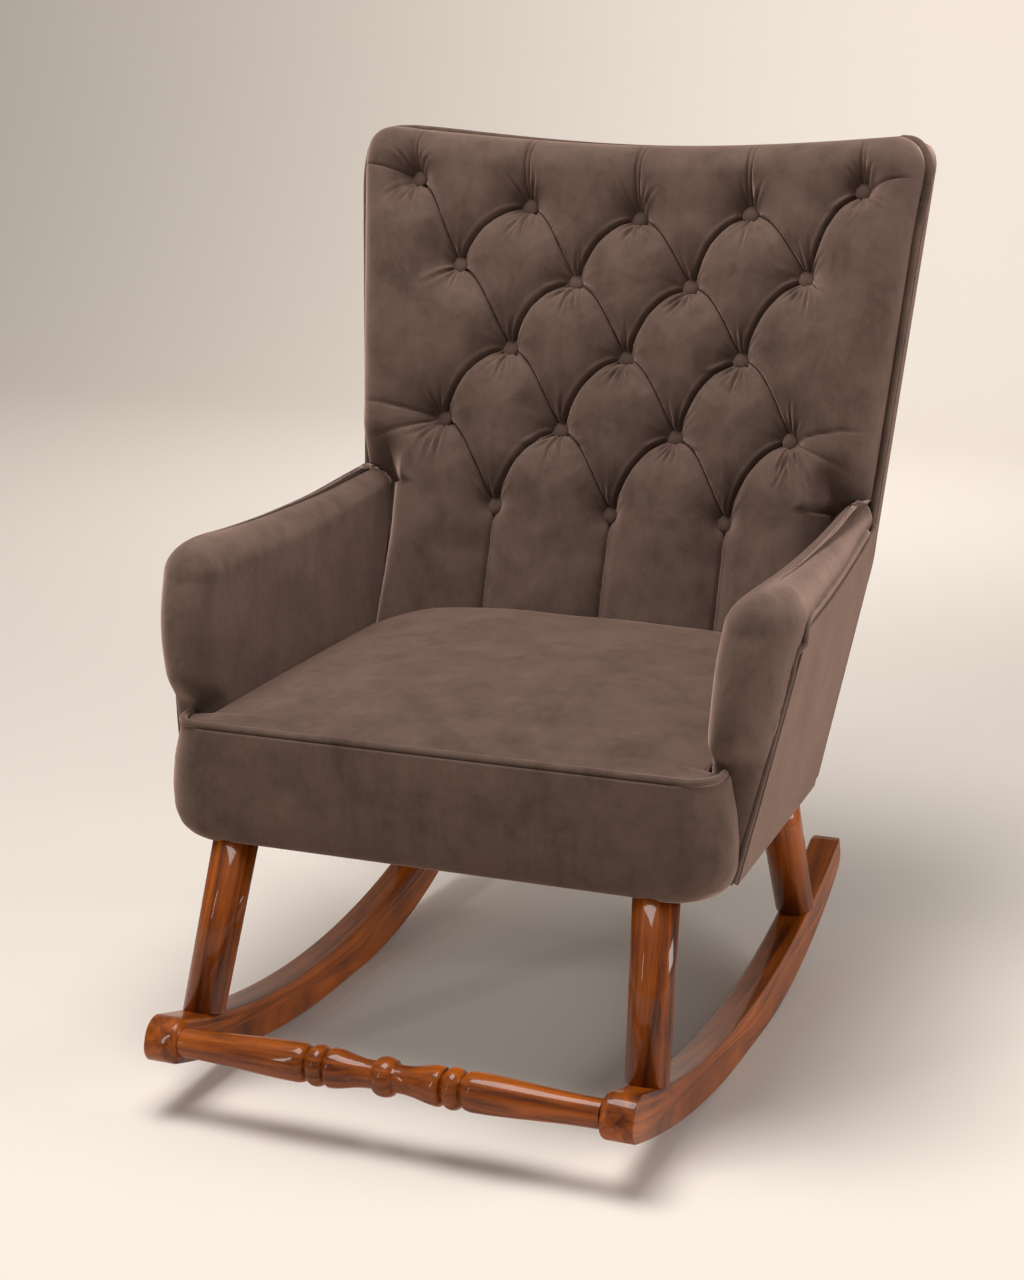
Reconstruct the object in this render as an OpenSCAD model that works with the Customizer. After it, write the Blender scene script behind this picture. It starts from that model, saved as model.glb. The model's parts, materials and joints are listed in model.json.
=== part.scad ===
// Wingback rocking chair: two bent rockers, four turned legs, a turned front
// rail and a padded seat, arms and button-tufted back on a wooden frame.
// Lengths are in millimetres. X is across the chair, -Y is its front and Z is up.
// Inside the modules y = 0 is the line where the rockers touch the floor.

/* [Rockers] */
// Distance between the middles of the two rockers
rocker_gap = 520; // [490:2:540]
// Thickness of a rocker
rocker_t = 39; // [30:1:44]
// Height of a rocker's section
rocker_h = 50; // [44:1:56]
// Radius of the rocking edge
rocker_r = 1184; // [1100:4:1300]
// Radius that the rocking edge takes behind its flat
tail_r = 690; // [640:5:760]
// Length of the flat behind the floor line, under the empty chair's weight
rest_flat = 80; // [60:1:90]
// How far in front of the floor line the nose is, at half its height
nose_reach = 388; // [370:1:400]
// Round at the top of the nose
nose_round = 24; // [8:1:28]
// How far behind the floor line the tail ends
tail_reach = 421; // [400:1:440]
// Round at the underside of the tail
tail_round = 18; // [8:1:22]

/* [Legs] */
// Diameter of a leg at the seat
leg_top_d = 52; // [44:1:58]
// Diameter of a leg at the rocker
leg_foot_d = 46; // [36:1:50]
// How far in front of the floor line a front leg stands on its rocker
front_foot_y = 290; // [275:1:300]
// How far behind the floor line a rear leg stands on its rocker
rear_foot_y = 280; // [265:1:300]
// How far each leg leans along the chair, from rocker to seat
leg_rake = 66; // [50:1:80]
// How far each leg leans inwards, from rocker to seat
leg_splay = 14; // [6:1:20]
// Diameter of the steel bolts and screws in the legs
bolt_d = 8; // [6:1:10]

/* [Front rail between the rockers] */
// Largest diameter of the turned rail
spindle_d = 45; // [40:1:48]
// Diameter of the turned rail at its ends
spindle_end_d = 32; // [26:1:36]
// Diameter of the tenon that goes into each rocker
spindle_tenon_d = 22; // [16:1:25]

/* [Seat] */
// Height of the seat's underside
seat_bottom = 281; // [275:1:290]
// Height of the piped front edge
seat_edge = 402; // [395:1:412]
// Height of the seat's crown at the back
seat_crown = 446; // [436:1:456]
// Half the width of the seat front
seat_half_w = 318; // [312:1:324]
// How far in front of the floor line the seat front is
seat_front = 252; // [246:1:256]
// Depth of the seat, from its front to the plane of the back's buttons
seat_depth = 536; // [526:1:548]
// Round at the seat's front corners, seen from above
seat_corner = 42; // [30:1:50]

/* [Frame] */
// Thickness of the frame's boards
board_t = 22; // [18:1:26]
// Height of the seat's boards
board_h = 60; // [50:1:64]
// Width of a seat webbing strap
strap_w = 50; // [40:1:60]
// Thickness of the webbing
strap_t = 2; // [1.5:0.5:3]
// Thickness of the covers stretched over board
cover_t = 3; // [2:0.5:4]

/* [Back] */
// Lean of the back from upright, in degrees
back_lean = 15.85; // [14:0.1:18]
// Height of the back's top edge in its middle
crest_mid = 998; // [980:1:1015]
// How much higher the top edge is towards its corners
crest_rise = 18; // [8:1:26]
// Half the width of the back at its top
back_half_w = 369; // [362:1:376]
// Depth of the tufts, from a pillow's crown to its buttons
tuft_depth = 36; // [26:1:42]
// Distance across from a button to the next pleat crossing
tuft_pitch = 76; // [72:0.5:78]
// Distance down the back from the first row of buttons to the next
tuft_step = 85; // [80:0.5:88]
// Distance along the back's slope from the floor to the top row of buttons
tuft_top = 947; // [935:1:955]
// Diameter of a covered button
button_d = 14.5; // [12:0.5:18]

/* [Arms] */
// Clear width between the arms at the seat
arm_gap = 572; // [566:1:576]
// Height of the arm's outer seam at its front
arm_seam = 552; // [540:1:560]
// Height of an arm's padding above that seam
arm_crest = 37; // [30:1:42]
// Half the width of the chair at the front of the arm's outer seam
arm_half_w = 370; // [364:1:376]

/* [Piping] */
// Diameter of the piping cord with its cover
piping_d = 9; // [7:0.5:11]

/* [Hidden] */

wood = "#8a4a1e";
pine = "#c9a66b";
fabric = "#5f4f49";
fabric_dark = "#4b3d38";
steel = "#9a9a9c";
black_cloth = "#2a2826";

// Gap that soft pieces keep from what they lie against
soft_gap = 0.3;
// Clearance of a screw or bolt in its hole
bolt_gap = 0.1;
round_fn = 96;
arc_fn = 720;
tube_sides = 8;

function clamp01(a) = min(1, max(0, a));
function mix(a, b, s) = a + (b - a) * s;
function flat(rows) = [for (row = rows) for (p = row) p];

// The rocking edge: an arc about a centre straight above the floor line, then
// a short flat on which the empty chair rests, then an upswept tail.
arc_top_r = rocker_r - rocker_h;
tail_centre = [rest_flat, tail_r];
nose_foot_round = 20;
nose_angle = -asin(nose_reach / (rocker_r - rocker_h / 2));
spindle_back = 18;
spindle_y = spindle_back - nose_reach;
spindle_z = rocker_r - sqrt(pow(rocker_r - rocker_h / 2, 2) - spindle_y * spindle_y);
tail_angle = asin(tail_reach / arc_top_r);
function rocker_top(y) = rocker_r - sqrt(arc_top_r * arc_top_r - y * y);
// Radius of the tail's underside about the main centre, at the tail's end
tail_dir = [sin(tail_angle), -cos(tail_angle)];
tail_off = tail_centre - [0, rocker_r];
tail_along = tail_off * tail_dir;
tail_low_r = tail_along + sqrt(tail_along * tail_along - tail_off * tail_off
                               + tail_r * tail_r);

// Legs, as foot and top points of the right-hand pair
rocker_x = rocker_gap / 2;
plate_t = 3;
plate_w = 56;
leg_top_z = seat_bottom;
front_foot = [rocker_x, -front_foot_y, rocker_top(-front_foot_y)];
front_top = [rocker_x - leg_splay, leg_rake - front_foot_y, leg_top_z];
rear_foot = [rocker_x, rear_foot_y, rocker_top(rear_foot_y)];
rear_top = [rocker_x - leg_splay, rear_foot_y - leg_rake, leg_top_z];

// Seat frame
frame_bottom = seat_bottom + plate_t;
frame_top = frame_bottom + board_h;
border_t = 14;
rail_front = -seat_front + border_t;
rail_back = 222.5;
side_front_x = arm_gap / 2 - 4;
side_back_x = 276;
front_rail_x = seat_half_w - 18;
arm_front_gap = 52;
t_end = -seat_front + arm_front_gap;

// Plane of the buttons, which leans back from a line on the floor
back_foot_y = seat_depth - seat_front - tan(back_lean) * seat_crown;
function back_y(n, z) = back_foot_y + n / cos(back_lean) + z * tan(back_lean);
function slope_t(y, z) = z * cos(back_lean) + (y - back_foot_y) * sin(back_lean);
function lean_point(p) = [p.x, back_foot_y + p.y * cos(back_lean) + p.z * sin(back_lean),
                          p.z * cos(back_lean) - p.y * sin(back_lean)];

// Outer seam of the back: a line from the seat to a knee behind the arm, and
// another from there to the top. Each is given as width, seam and rear face,
// the last two from the line where the tufted back would meet the floor.
knee_z = 520;
seam_low = [306, back_foot_y + 11, back_foot_y + 95];
seam_knee = [332, back_foot_y + 145, back_foot_y + 205];
seam_high_z = 985;
seam_high = [back_half_w, back_foot_y + 234, back_foot_y + 345];
function seam(z, k) = z < knee_z
    ? mix(seam_low[k], seam_knee[k], (z - seat_bottom) / (knee_z - seat_bottom))
    : mix(seam_knee[k], seam_high[k], (z - knee_z) / (seam_high_z - knee_z));
function seam_x(z) = seam(z, 0);
function seam_y(z) = seam(z, 1);
side_band = 25;
function rear_y(s, z) = let (edge = seam_y(z) + side_band)
    edge + (seam(z, 2) - edge) * pow(max(0, 1 - pow(abs(s), 6)), 0.6);

// Top edge of the back, lowest in the middle, with rounded corners
crest_corner = 38;
crest_x = back_half_w - 65;
function corner_drop(x, w) = let (d = (abs(x) - w + crest_corner) / crest_corner)
    d <= 0 ? 0 : crest_corner * (1 - sqrt(max(0, 1 - d * d)));
function crest_z(x) = crest_mid + crest_rise * pow(min(1.15, abs(x) / crest_x), 1.8);

// The frame of the back: its curved rails, seen from above, are arcs
sweep = 0.00044;
rail_front_n = 22;
rail_r = 1 / (2 * sweep);
function bow(x) = rail_r - sqrt(rail_r * rail_r - x * x);
post_w = 30;
post_d = 33;
post_low_d = 26;
post_inset = 17;
post_top_z = seam_high_z - 37;
post_low = [seam_low[0] - piping_d - 0.5, seam_low[1] + 6];
function post_s(z) = clamp01((z - frame_bottom) / (knee_z - frame_bottom));
function post_y(z) = mix(post_low.y, seam_y(max(z, knee_z)) + 2, post_s(z));
function post_x(z) = mix(post_low.x, seam_x(max(z, knee_z)) - post_inset, post_s(z));
top_rail_h = 70;
top_rail_top = tuft_top + 48;
function between_posts(t) = let (z = (t + 8) * cos(back_lean)) post_x(z) - post_w;

// Buttons in a diamond lattice: row j has those whose i + j is even
rows = 5;
last_row = rows - 1;
row_growth = 2.6;
function row_t(j) = tuft_top - (tuft_step - row_growth) * j - row_growth * j * j;
function row_bow(j) = 0.00041 * pow(clamp01(1 - j / last_row), 1.3);
function row_pitch(j) = tuft_pitch - 3.5 * clamp01(1 - j);
widest = [4, 3, 2, 3, 2];
buttons = [for (j = [0:last_row]) for (i = [-widest[j]:2:widest[j]])
    let (x = i * row_pitch(j)) [x, row_t(j) + row_bow(j) * x * x]];

// The back pad's outline: as wide as the gap of the arms beside them, and as
// wide as the seams above them
step_z = 578;
pad_step_low = slope_t(back_y(-20, step_z), step_z);
pad_step_high = pad_step_low + 20;
wing_under = 75;
function pad_w(t) = let (z = (t + 20) * cos(back_lean))
    mix(arm_gap / 2 - soft_gap, seam_x(z) - piping_d - soft_gap,
        clamp01((t - pad_step_low) / (pad_step_high - pad_step_low)));
pad_bottom_t = 372;
function roll_n(x) = top_n - sweep * x * x;
function pad_top_t(x) = crest_z(x) / cos(back_lean) + roll_n(x) * tan(back_lean)
    - corner_drop(x, seam_x(seam_high_z) - piping_d - soft_gap);

// Lattice coordinates of the back pad's grid: i across, j down
i_inner = [for (k = [0:12]) k / 4];
i_wing = [3.3, 3.65, 4, 4.35, 4.66, 4.88, 5];
i_half = concat(i_inner, i_wing);
i_list = concat([for (k = [len(i_half) - 1:-1:1]) -i_half[k]], i_half);
j_low = 6;
j_list = concat([for (j = [j_low:-0.5:last_row + 0.5]) j],
                [for (j = [last_row:-0.25:0.25]) j],
                [0, -0.3, -0.55, -0.75, -0.9, -1]);
function low_t(j) = mix(row_t(last_row), pad_bottom_t, (j - last_row) / (j_low - last_row));
function grid_x(i, j, w) = let (x3 = 3 * row_pitch(max(0, j)))
    abs(i) <= 3 ? i * row_pitch(max(0, j)) : sign(i) * mix(x3, w, (abs(i) - 3) / 2);
function grid_t(x, j) = j > last_row ? low_t(j)
    : let (t0 = row_t(max(0, j)) + row_bow(max(0, j)) * x * x)
      j >= 0 ? t0 : mix(t0, pad_top_t(x), -j);

// Height of the tufted surface in front of the buttons' plane
function zigzag(j) = j < 0 ? 4 : j < 2 ? 4 - j : j < 3 ? j : j < 4 ? 6 - j : 2;
function crown(d) = 1 - pow(1 - clamp01(d), 2.2);
function lattice_rise(i, j) = let (c = min(last_row, max(0, j)))
    pow(abs(sin(90 * (i + c)) * sin(90 * (i - c))), 0.62);
function wing_rise(i, j) = crown(abs(i) - zigzag(j))
    * mix(1, crown(1.5 * abs(j - 3)), clamp01(abs(i) - 2.6) * 0.55);
function button_gap(x, t) = min([for (b = buttons) norm([x - b.x, t - b.y])]);
function rise(i, j, x, t) =
    0.5 * tuft_depth * (1 - exp(-pow(button_gap(x, t) / 27, 2)))
    + 0.5 * tuft_depth * (abs(i) < zigzag(j) ? lattice_rise(i, j) : wing_rise(i, j));
side_round = 50;
top_round = 44;
top_n = 12;
function slope_n(y, z) = (y - back_foot_y) * cos(back_lean) - z * sin(back_lean);
function edge_n(t) = let (z = (t + 8) * cos(back_lean)) slope_n(seam_y(z), z);
function edge_round(d, r) = let (e = clamp01(d / r)) sqrt(1 - (1 - e) * (1 - e));
// The wings are drawn back where they come down behind the arms
function wing_hold(x, t) = let (
    s = clamp01((t - pad_step_low) / wing_under),
    f = clamp01((abs(x) - arm_gap / 2 + 24) / 24)) mix(1, s * s * (3 - 2 * s), f);
function pad_n(i, j, x, t) = let (
    plain = -sweep * x * x - rise(i, j, x, t),
    held = t < pad_step_low ? plain : mix(edge_n(t) - 14, plain, wing_hold(x, t)),
    sided = mix(edge_n(t), held, edge_round(pad_w(t) - abs(x), side_round)))
    mix(roll_n(x), sided, edge_round(pad_top_t(x) - t, top_round));
function pad_point(i, j) = let (
    w0 = pad_w(row_t(max(0, min(j, last_row)))),
    t0 = grid_t(grid_x(i, j, w0), j),
    x = grid_x(i, j, pad_w(min(t0, 1015))),
    t = grid_t(x, j)) [x, pad_n(i, j, x, t), t];

// The seat pad's top: a crowned panel that is wider in front of the arms
seat_rows = [0, 0.012, 0.03, 0.06, 0.085, 0.105, 0.13, 0.2, 0.32, 0.46, 0.6, 0.74,
             0.86, 0.94, 0.98, 1];
seat_cols = [-1, -0.985, -0.95, -0.88, -0.76, -0.6, -0.4, -0.2, 0,
             0.2, 0.4, 0.6, 0.76, 0.88, 0.95, 0.985, 1];
seat_lip = 7;
seat_back_y = back_y(-tuft_depth - 6, seat_crown - 10);
function seat_y(s) = mix(-seat_front + seat_lip, seat_back_y, s);
function seat_w(y) = let (
    wide = seat_half_w - 12,
    c = clamp01((y + seat_front - seat_lip) / (seat_corner - 6)),
    front_w = wide - (seat_corner - 6) * (1 - sqrt(1 - (1 - c) * (1 - c))),
    back_w = arm_gap / 2 - soft_gap)
    mix(front_w, back_w, clamp01((y - t_end + 8) / 8));
function seat_top(s, c) = let (
    along = 1 - pow(1 - clamp01(s * 1.02), 2.4),
    across = 1 - 0.86 * pow(abs(c), 4),
    rear = edge_round(1 - s, 0.05))
    seat_edge + 2 + (seat_crown - seat_edge - 2) * along * across * mix(0.8, 1, rear);

// Arms, given for the right-hand one
arm_in = arm_gap / 2 + soft_gap;
arm_nose = 229;
arm_low_x = 320;
arm_low_y = -197;
arm_seam_y = -122;
function arm_v(z) = (z - seat_bottom) / (arm_seam - seat_bottom);
function arm_edge(v) = [mix(arm_low_x, arm_half_w, v) + 2 * sin(180 * v),
                        mix(arm_low_y, arm_seam_y, v) - 9 * sin(180 * v)];
function arm_u(y) = clamp01((y - arm_seam_y) / (318 - arm_seam_y));
function arm_seam_z(y) = arm_seam + 24 * arm_u(y) - 8 * sin(180 * arm_u(y));
function arm_top_z(y) = arm_seam_z(y) + arm_crest - 12 * arm_u(y);
panel_bulge = 4;
function panel_x(y, z) = let (
    e = arm_edge(clamp01(arm_v(z))),
    u = clamp01((y - e.y) / (seam_y(z) - e.y)))
    mix(e.x, seam_x(z), u) + panel_bulge * sin(180 * u) * sin(180 * clamp01(arm_v(z)));
function arm_inner_x(v) = arm_in + 9 * clamp01((v - 0.45) / 0.55);
nose_v = arm_v(seat_edge + piping_d + 2);
function arm_nose_y(v) = v <= nose_v ? t_end + soft_gap
    : mix(t_end, -arm_nose, sin(90 * clamp01((v - nose_v) / 0.15)))
      + 26 * pow(clamp01((v - 0.7) / 0.3), 2);
arm_frame_t = 20;
arm_frame_in = 10;
arm_frame_levels = [frame_bottom, frame_top, frame_top + 20, 430, 490, arm_seam - 14];
arm_foam = 26;
arm_rail_h = 42;
arm_post_d = 40;
function arm_frame_y(z) = arm_edge(clamp01(arm_v(z))).y + arm_foam;
arm_frame_top = arm_seam - 14;

// The piping's run over the top edge of the back
crest_run_w = seam_x(seam_high_z) - crest_corner - 20;
crest_run = [for (s = [-1:0.1:1]) let (x = s * crest_run_w, z = crest_z(x) - 5)
    [x, rear_y(x / seam_x(seam_high_z), z) - 4, z]];

// How far the chair reaches in front of and behind the floor line
front_reach = (rocker_r - nose_foot_round) * sin(-nose_angle)
    + nose_foot_round * (1 - cos(nose_angle));
back_reach = max([for (p = crest_run) p.y]) + piping_d / 2;
depth_middle = (back_reach - front_reach) / 2;

// Closed solids from rings and grids of points

module loft(rings) {
    n = len(rings[0]);
    m = len(rings);
    low = n * m;
    high = low + 1;
    function middle(ring) = [for (k = [0:2]) let (s = [for (p = ring) p[k]])
        s * [for (v = s) 1] / len(s)];
    points = concat(flat(rings), [middle(rings[0]), middle(rings[m - 1])]);
    side = [for (r = [0:m - 2]) for (j = [0:n - 1])
        let (a = r * n + j, b = r * n + (j + 1) % n)
        each [[a, a + n, b + n], [a, b + n, b]]];
    caps = [for (j = [0:n - 1])
        let (a = j, b = (j + 1) % n, top = (m - 1) * n)
        each [[low, a, b], [high, top + b, top + a]]];
    polyhedron(points = points, faces = concat(side, caps));
}

function rim_index(r, c) = concat(
    [for (k = [0:c - 1]) k],
    [for (k = [1:r - 1]) k * c + c - 1],
    [for (k = [c - 2:-1:0]) (r - 1) * c + k],
    [for (k = [r - 2:-1:1]) k * c]);

// Two triangles for each cell of a grid, split along one or the other diagonal
function cell_faces(r, c, split) = [for (a = [0:r - 2]) for (b = [0:c - 2])
    let (p = a * c + b)
    each (split[a][b]
        ? [[p, p + c, p + c + 1], [p, p + c + 1, p + 1]]
        : [[p, p + c, p + 1], [p + 1, p + c, p + c + 1]])];
function same_split(r, c) = [for (a = [0:r - 2]) [for (b = [0:c - 2]) true]];

// A solid between a grid and a flat base given for the points of its rim
module relief(grid, base, split) {
    r = len(grid);
    c = len(grid[0]);
    rim = rim_index(r, c);
    count = len(rim);
    first = r * c;
    wall = [for (k = [0:count - 1]) let (l = (k + 1) % count)
        each [[rim[k], rim[l], first + l], [rim[k], first + l, first + k]]];
    polyhedron(points = concat(flat(grid), base),
               faces = concat(cell_faces(r, c, split), wall,
                              [[for (k = [0:count - 1]) first + k]]));
}

function rim_points(grid) = let (points = flat(grid))
    [for (k = rim_index(len(grid), len(grid[0]))) points[k]];

// A sheet between a front grid and a rear grid of as many points
module sheet(front, rear) {
    r = len(front);
    c = len(front[0]);
    first = r * c;
    rim = rim_index(r, c);
    count = len(rim);
    faces = cell_faces(r, c, same_split(r, c));
    back = [for (f = faces) [first + f[0], first + f[2], first + f[1]]];
    wall = [for (k = [0:count - 1]) let (l = (k + 1) % count)
        each [[rim[k], rim[l], first + rim[l]], [rim[k], first + rim[l], first + rim[k]]]];
    polyhedron(points = concat(flat(front), flat(rear)), faces = concat(faces, back, wall));
}

// A round tube along a path of points
module tube(path, d) {
    last = len(path) - 1;
    function unit(v) = v / norm(v);
    function heading(k) = unit(path[min(last, k + 1)] - path[max(0, k - 1)]);
    function ring(k) = let (
        h = heading(k),
        ref = abs(h.z) < 0.9 ? [0, 0, 1] : [0, -1, 0],
        u = unit(cross(ref, h)),
        v = cross(h, u))
        [for (a = [0:360 / tube_sides:359])
            path[k] + d / 2 * (cos(a) * u + sin(a) * v)];
    loft([for (k = [0:last]) ring(k)]);
}

module mirrored(side) {
    if (side < 0) mirror([1, 0, 0]) children();
    else children();
}

// Cuts on a solid of many flat faces are made on its mesh, at its own size
module as_mesh() resize([0, 0, 0]) children();

module along(foot, top) {
    d = top - foot;
    translate(foot) rotate([0, acos(d.z / norm(d)), atan2(d.y, d.x)]) children();
}

module leaning() {
    translate([0, back_foot_y, 0]) rotate([-back_lean, 0, 0]) children();
}

// Rockers and legs

module half_plane(angle, ahead) {
    translate([0, rocker_r]) rotate(angle)
        translate([ahead ? 0 : -2 * rocker_r, -2 * rocker_r])
            square([2 * rocker_r, 4 * rocker_r]);
}

// What a round of radius r takes off a corner that looks towards +X and -Y
module corner_round(r) {
    difference() {
        translate([-r, -2]) square([r + 2, r + 2]);
        translate([-r, r]) circle(r = r, $fn = round_fn);
    }
}

module rocker_outline() {
    difference() {
        intersection() {
            union() {
                translate([0, rocker_r]) circle(r = rocker_r, $fn = arc_fn);
                square(rocker_r);
            }
            union() {
                translate(tail_centre) circle(r = tail_r, $fn = arc_fn);
                translate([-2 * rocker_r, 0]) square([2 * rocker_r + rest_flat, rocker_r]);
            }
            half_plane(nose_angle, true);
            half_plane(tail_angle, false);
        }
        translate([0, rocker_r]) circle(r = arc_top_r, $fn = arc_fn);
        translate([0, rocker_r]) rotate(tail_angle)
            translate([0, -tail_low_r]) corner_round(tail_round);
        translate([0, rocker_r]) rotate(nose_angle) {
            translate([0, -arc_top_r]) rotate(180) corner_round(nose_round);
            translate([0, -rocker_r]) mirror([1, 0]) corner_round(nose_foot_round);
        }
    }
}

module extrude_x(w) {
    translate([-w / 2, 0, 0]) rotate([90, 0, 90]) linear_extrude(w) children();
}

screw_depth = 45;
head_d = 1.7 * bolt_d;
head_h = 5;
head_sink = 9;
screw_d = bolt_d - 2;

// Places its children on a leg's axis, at the leg's foot or at its top
module at_feet(side) {
    for (leg = [[front_foot, front_top], [rear_foot, rear_top]])
        mirrored(side) along(leg[0], leg[1]) children();
}

module at_tops(side, legs = [[front_foot, front_top], [rear_foot, rear_top]]) {
    for (leg = legs) mirrored(side) along(leg[1], 2 * leg[1] - leg[0]) children();
}

module rocker(side) color(wood) {
    difference() {
        translate([side * rocker_x, 0, 0]) extrude_x(rocker_t) rocker_outline();
        translate([side * (rocker_x - rocker_t / 2 - 1), spindle_y, spindle_z])
            rotate([0, side * 90, 0])
                cylinder(d = spindle_tenon_d, h = spindle_tenon + 1, $fn = round_fn);
        at_feet(side) {
            translate([0, 0, -2 * rocker_h])
                cylinder(d = screw_d + 2 * bolt_gap, h = 3 * rocker_h, $fn = round_fn);
            translate([0, 0, -2 * rocker_h - rocker_h + head_sink])
                cylinder(d = head_d + 2 * bolt_gap, h = 2 * rocker_h, $fn = round_fn);
        }
    }
}

leg_stretch = 40;
leg_fn = 64;
// A flat foot on the rocker's hollow top rests on its front and rear edges
foot_lift = 0.25;
module leg(side, foot, top) color(wood) {
    reach = norm(top - foot);
    screw_hole = screw_d / 2 + bolt_gap;
    bolt_hole = bolt_d / 2 + bolt_gap;
    wide = 4 * leg_top_d;
    mirrored(side) as_mesh() difference() {
        along(foot, top) rotate_extrude($fn = leg_fn) polygon([
            [screw_hole, -leg_stretch], [leg_foot_d / 2, -leg_stretch],
            [leg_top_d / 2, reach + leg_stretch], [bolt_hole, reach + leg_stretch],
            [bolt_hole, reach - screw_depth], [0, reach - screw_depth],
            [0, screw_depth], [screw_hole, screw_depth]]);
        translate(foot) rotate([asin(foot.y / arc_top_r), 0, 0])
            translate([-wide / 2, -wide / 2, foot_lift - wide]) cube(wide);
        translate([top.x - wide / 2, top.y - wide / 2, leg_top_z]) cube(wide);
    }
}

module rocker_screws() color(steel) {
    for (side = [-1, 1]) at_feet(side) {
        translate([0, 0, head_sink - rocker_h - head_h])
            cylinder(d = head_d, h = head_h, $fn = 32);
        translate([0, 0, head_sink - rocker_h])
            cylinder(d = screw_d, h = rocker_h - head_sink + screw_depth - 3, $fn = 32);
    }
}

bolt_rise = 26;
module leg_bolts() color(steel) {
    for (side = [-1, 1]) at_tops(side)
        translate([0, 0, 2 - screw_depth])
            cylinder(d = bolt_d, h = screw_depth + bolt_rise, $fn = 32);
}

module leg_plates() color(steel) {
    for (side = [-1, 1]) for (top = [front_top, rear_top]) difference() {
        translate([side * top.x - plate_w / 2, top.y - plate_w / 2, seat_bottom])
            cube([plate_w, plate_w, plate_t]);
        as_mesh() at_tops(side) translate([0, 0, -10])
            cylinder(d = bolt_d + 2 * bolt_gap, h = 30, $fn = 20);
    }
}

// Turned rail between the rockers: long swelling bodies, a bead, a vase and a
// ring in the middle, given as distance from the middle and radius
spindle_half = rocker_x - rocker_t / 2;
spindle_tenon = 26;
spindle_r = spindle_d / 2;
spindle_end_r = spindle_end_d / 2;
groove_r = spindle_end_r - 1;
ring_half = 12;
vase_end = 66;
bead_half = 10;
bead_mid = vase_end + bead_half + 2;
body_start = bead_mid + bead_half + 2;
spindle_profile = concat(
    [for (a = [0:15:75]) [ring_half * sin(a), groove_r + (spindle_r - 1 - groove_r) * cos(a)]],
    [[ring_half + 1, groove_r]],
    [for (s = [0:0.125:1]) [mix(ring_half + 3, vase_end - 4, s),
        mix(groove_r, spindle_r - 1, 0.5 - 0.5 * cos(180 * pow(s, 1.15)))]],
    [for (a = [30:30:90]) [vase_end - 4 + 4 * sin(a), spindle_r - 5 + 4 * cos(a)]],
    [[vase_end + 1, groove_r + 1]],
    [for (a = [-75:25:75]) [bead_mid + bead_half * sin(a),
        groove_r + (spindle_r - groove_r) * cos(a)]],
    [[body_start - 1, groove_r + 1]],
    [for (a = [0:22.5:90]) [body_start + 12 * (1 - cos(a)), mix(groove_r + 2, spindle_r - 1, sin(a))]],
    [for (s = [0.1:0.1:1]) [mix(body_start + 12, spindle_half, s),
        mix(spindle_r - 1, spindle_end_r, 0.5 - 0.5 * cos(180 * pow(s, 0.9)))]]);

module front_stretcher() color(wood) {
    last = len(spindle_profile) - 1;
    half = concat([for (p = spindle_profile) [p[1], p[0]]],
                  [[spindle_tenon_d / 2 - bolt_gap, spindle_half],
                   [spindle_tenon_d / 2 - bolt_gap, spindle_half + spindle_tenon - 1],
                   [0, spindle_half + spindle_tenon - 1]]);
    translate([0, spindle_y, spindle_z]) rotate([0, 90, 0]) rotate_extrude($fn = round_fn)
        polygon(concat([for (k = [len(half) - 1:-1:1]) [half[k][0], -half[k][1]]], half));
}

// Seat frame

module board(points, low, high) {
    translate([0, 0, low]) linear_extrude(high - low) polygon(points);
}

module bolt_holes(side, legs) {
    at_tops(side, legs) translate([0, 0, -10])
        cylinder(d = bolt_d + 2 * bolt_gap, h = bolt_rise + 12, $fn = 20);
}

module seat_front_rail() color(pine) difference() {
    board([[-front_rail_x, rail_front], [front_rail_x, rail_front],
           [front_rail_x, rail_front + board_t], [-front_rail_x, rail_front + board_t]],
          frame_bottom, frame_top);
    as_mesh() for (side = [-1, 1]) bolt_holes(side, [[front_foot, front_top]]);
}

module seat_back_rail() color(pine) difference() {
    board([[-side_back_x, rail_back - board_t], [side_back_x, rail_back - board_t],
           [side_back_x, rail_back], [-side_back_x, rail_back]], frame_bottom, frame_top);
    as_mesh() for (side = [-1, 1]) bolt_holes(side, [[rear_foot, rear_top]]);
}

module seat_side_rail(side) color(pine) mirrored(side)
    board([[side_front_x - board_t, rail_front + board_t], [side_front_x, rail_front + board_t],
           [side_back_x, rail_back - board_t], [side_back_x - board_t, rail_back - board_t]],
          frame_bottom, frame_top);

// Corner blocks fill the frame's inner corners, over the legs' bolts
block_h = 34;
block_leg = 86;
module corner_block(side, x, y, toward) {
    mirrored(side) board([[x, y], [x - block_leg, y], [x, y + toward * block_leg]],
                         frame_bottom, frame_bottom + block_h);
}

module corner_blocks() color(pine) {
    taper = (side_front_x - side_back_x) / (rail_back - rail_front - 2 * board_t);
    for (side = [-1, 1]) difference() {
        union() {
            mirrored(side) board([
                [side_front_x - board_t, rail_front + board_t],
                [side_front_x - board_t - taper * block_leg, rail_front + board_t + block_leg],
                [side_front_x - board_t - block_leg, rail_front + board_t + block_leg * 0.2],
                [side_front_x - board_t - block_leg, rail_front + board_t]],
                frame_bottom, frame_bottom + block_h);
            mirrored(side) board([
                [side_back_x - board_t, rail_back - board_t],
                [side_back_x - board_t - block_leg, rail_back - board_t],
                [side_back_x - board_t - block_leg, rail_back - board_t - block_leg * 0.2],
                [side_back_x - board_t + taper * block_leg, rail_back - board_t - block_leg]],
                frame_bottom, frame_bottom + block_h);
        }
        for (side = [-1, 1])
            bolt_holes(side, [[front_foot, front_top], [rear_foot, rear_top]]);
    }
}

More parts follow.
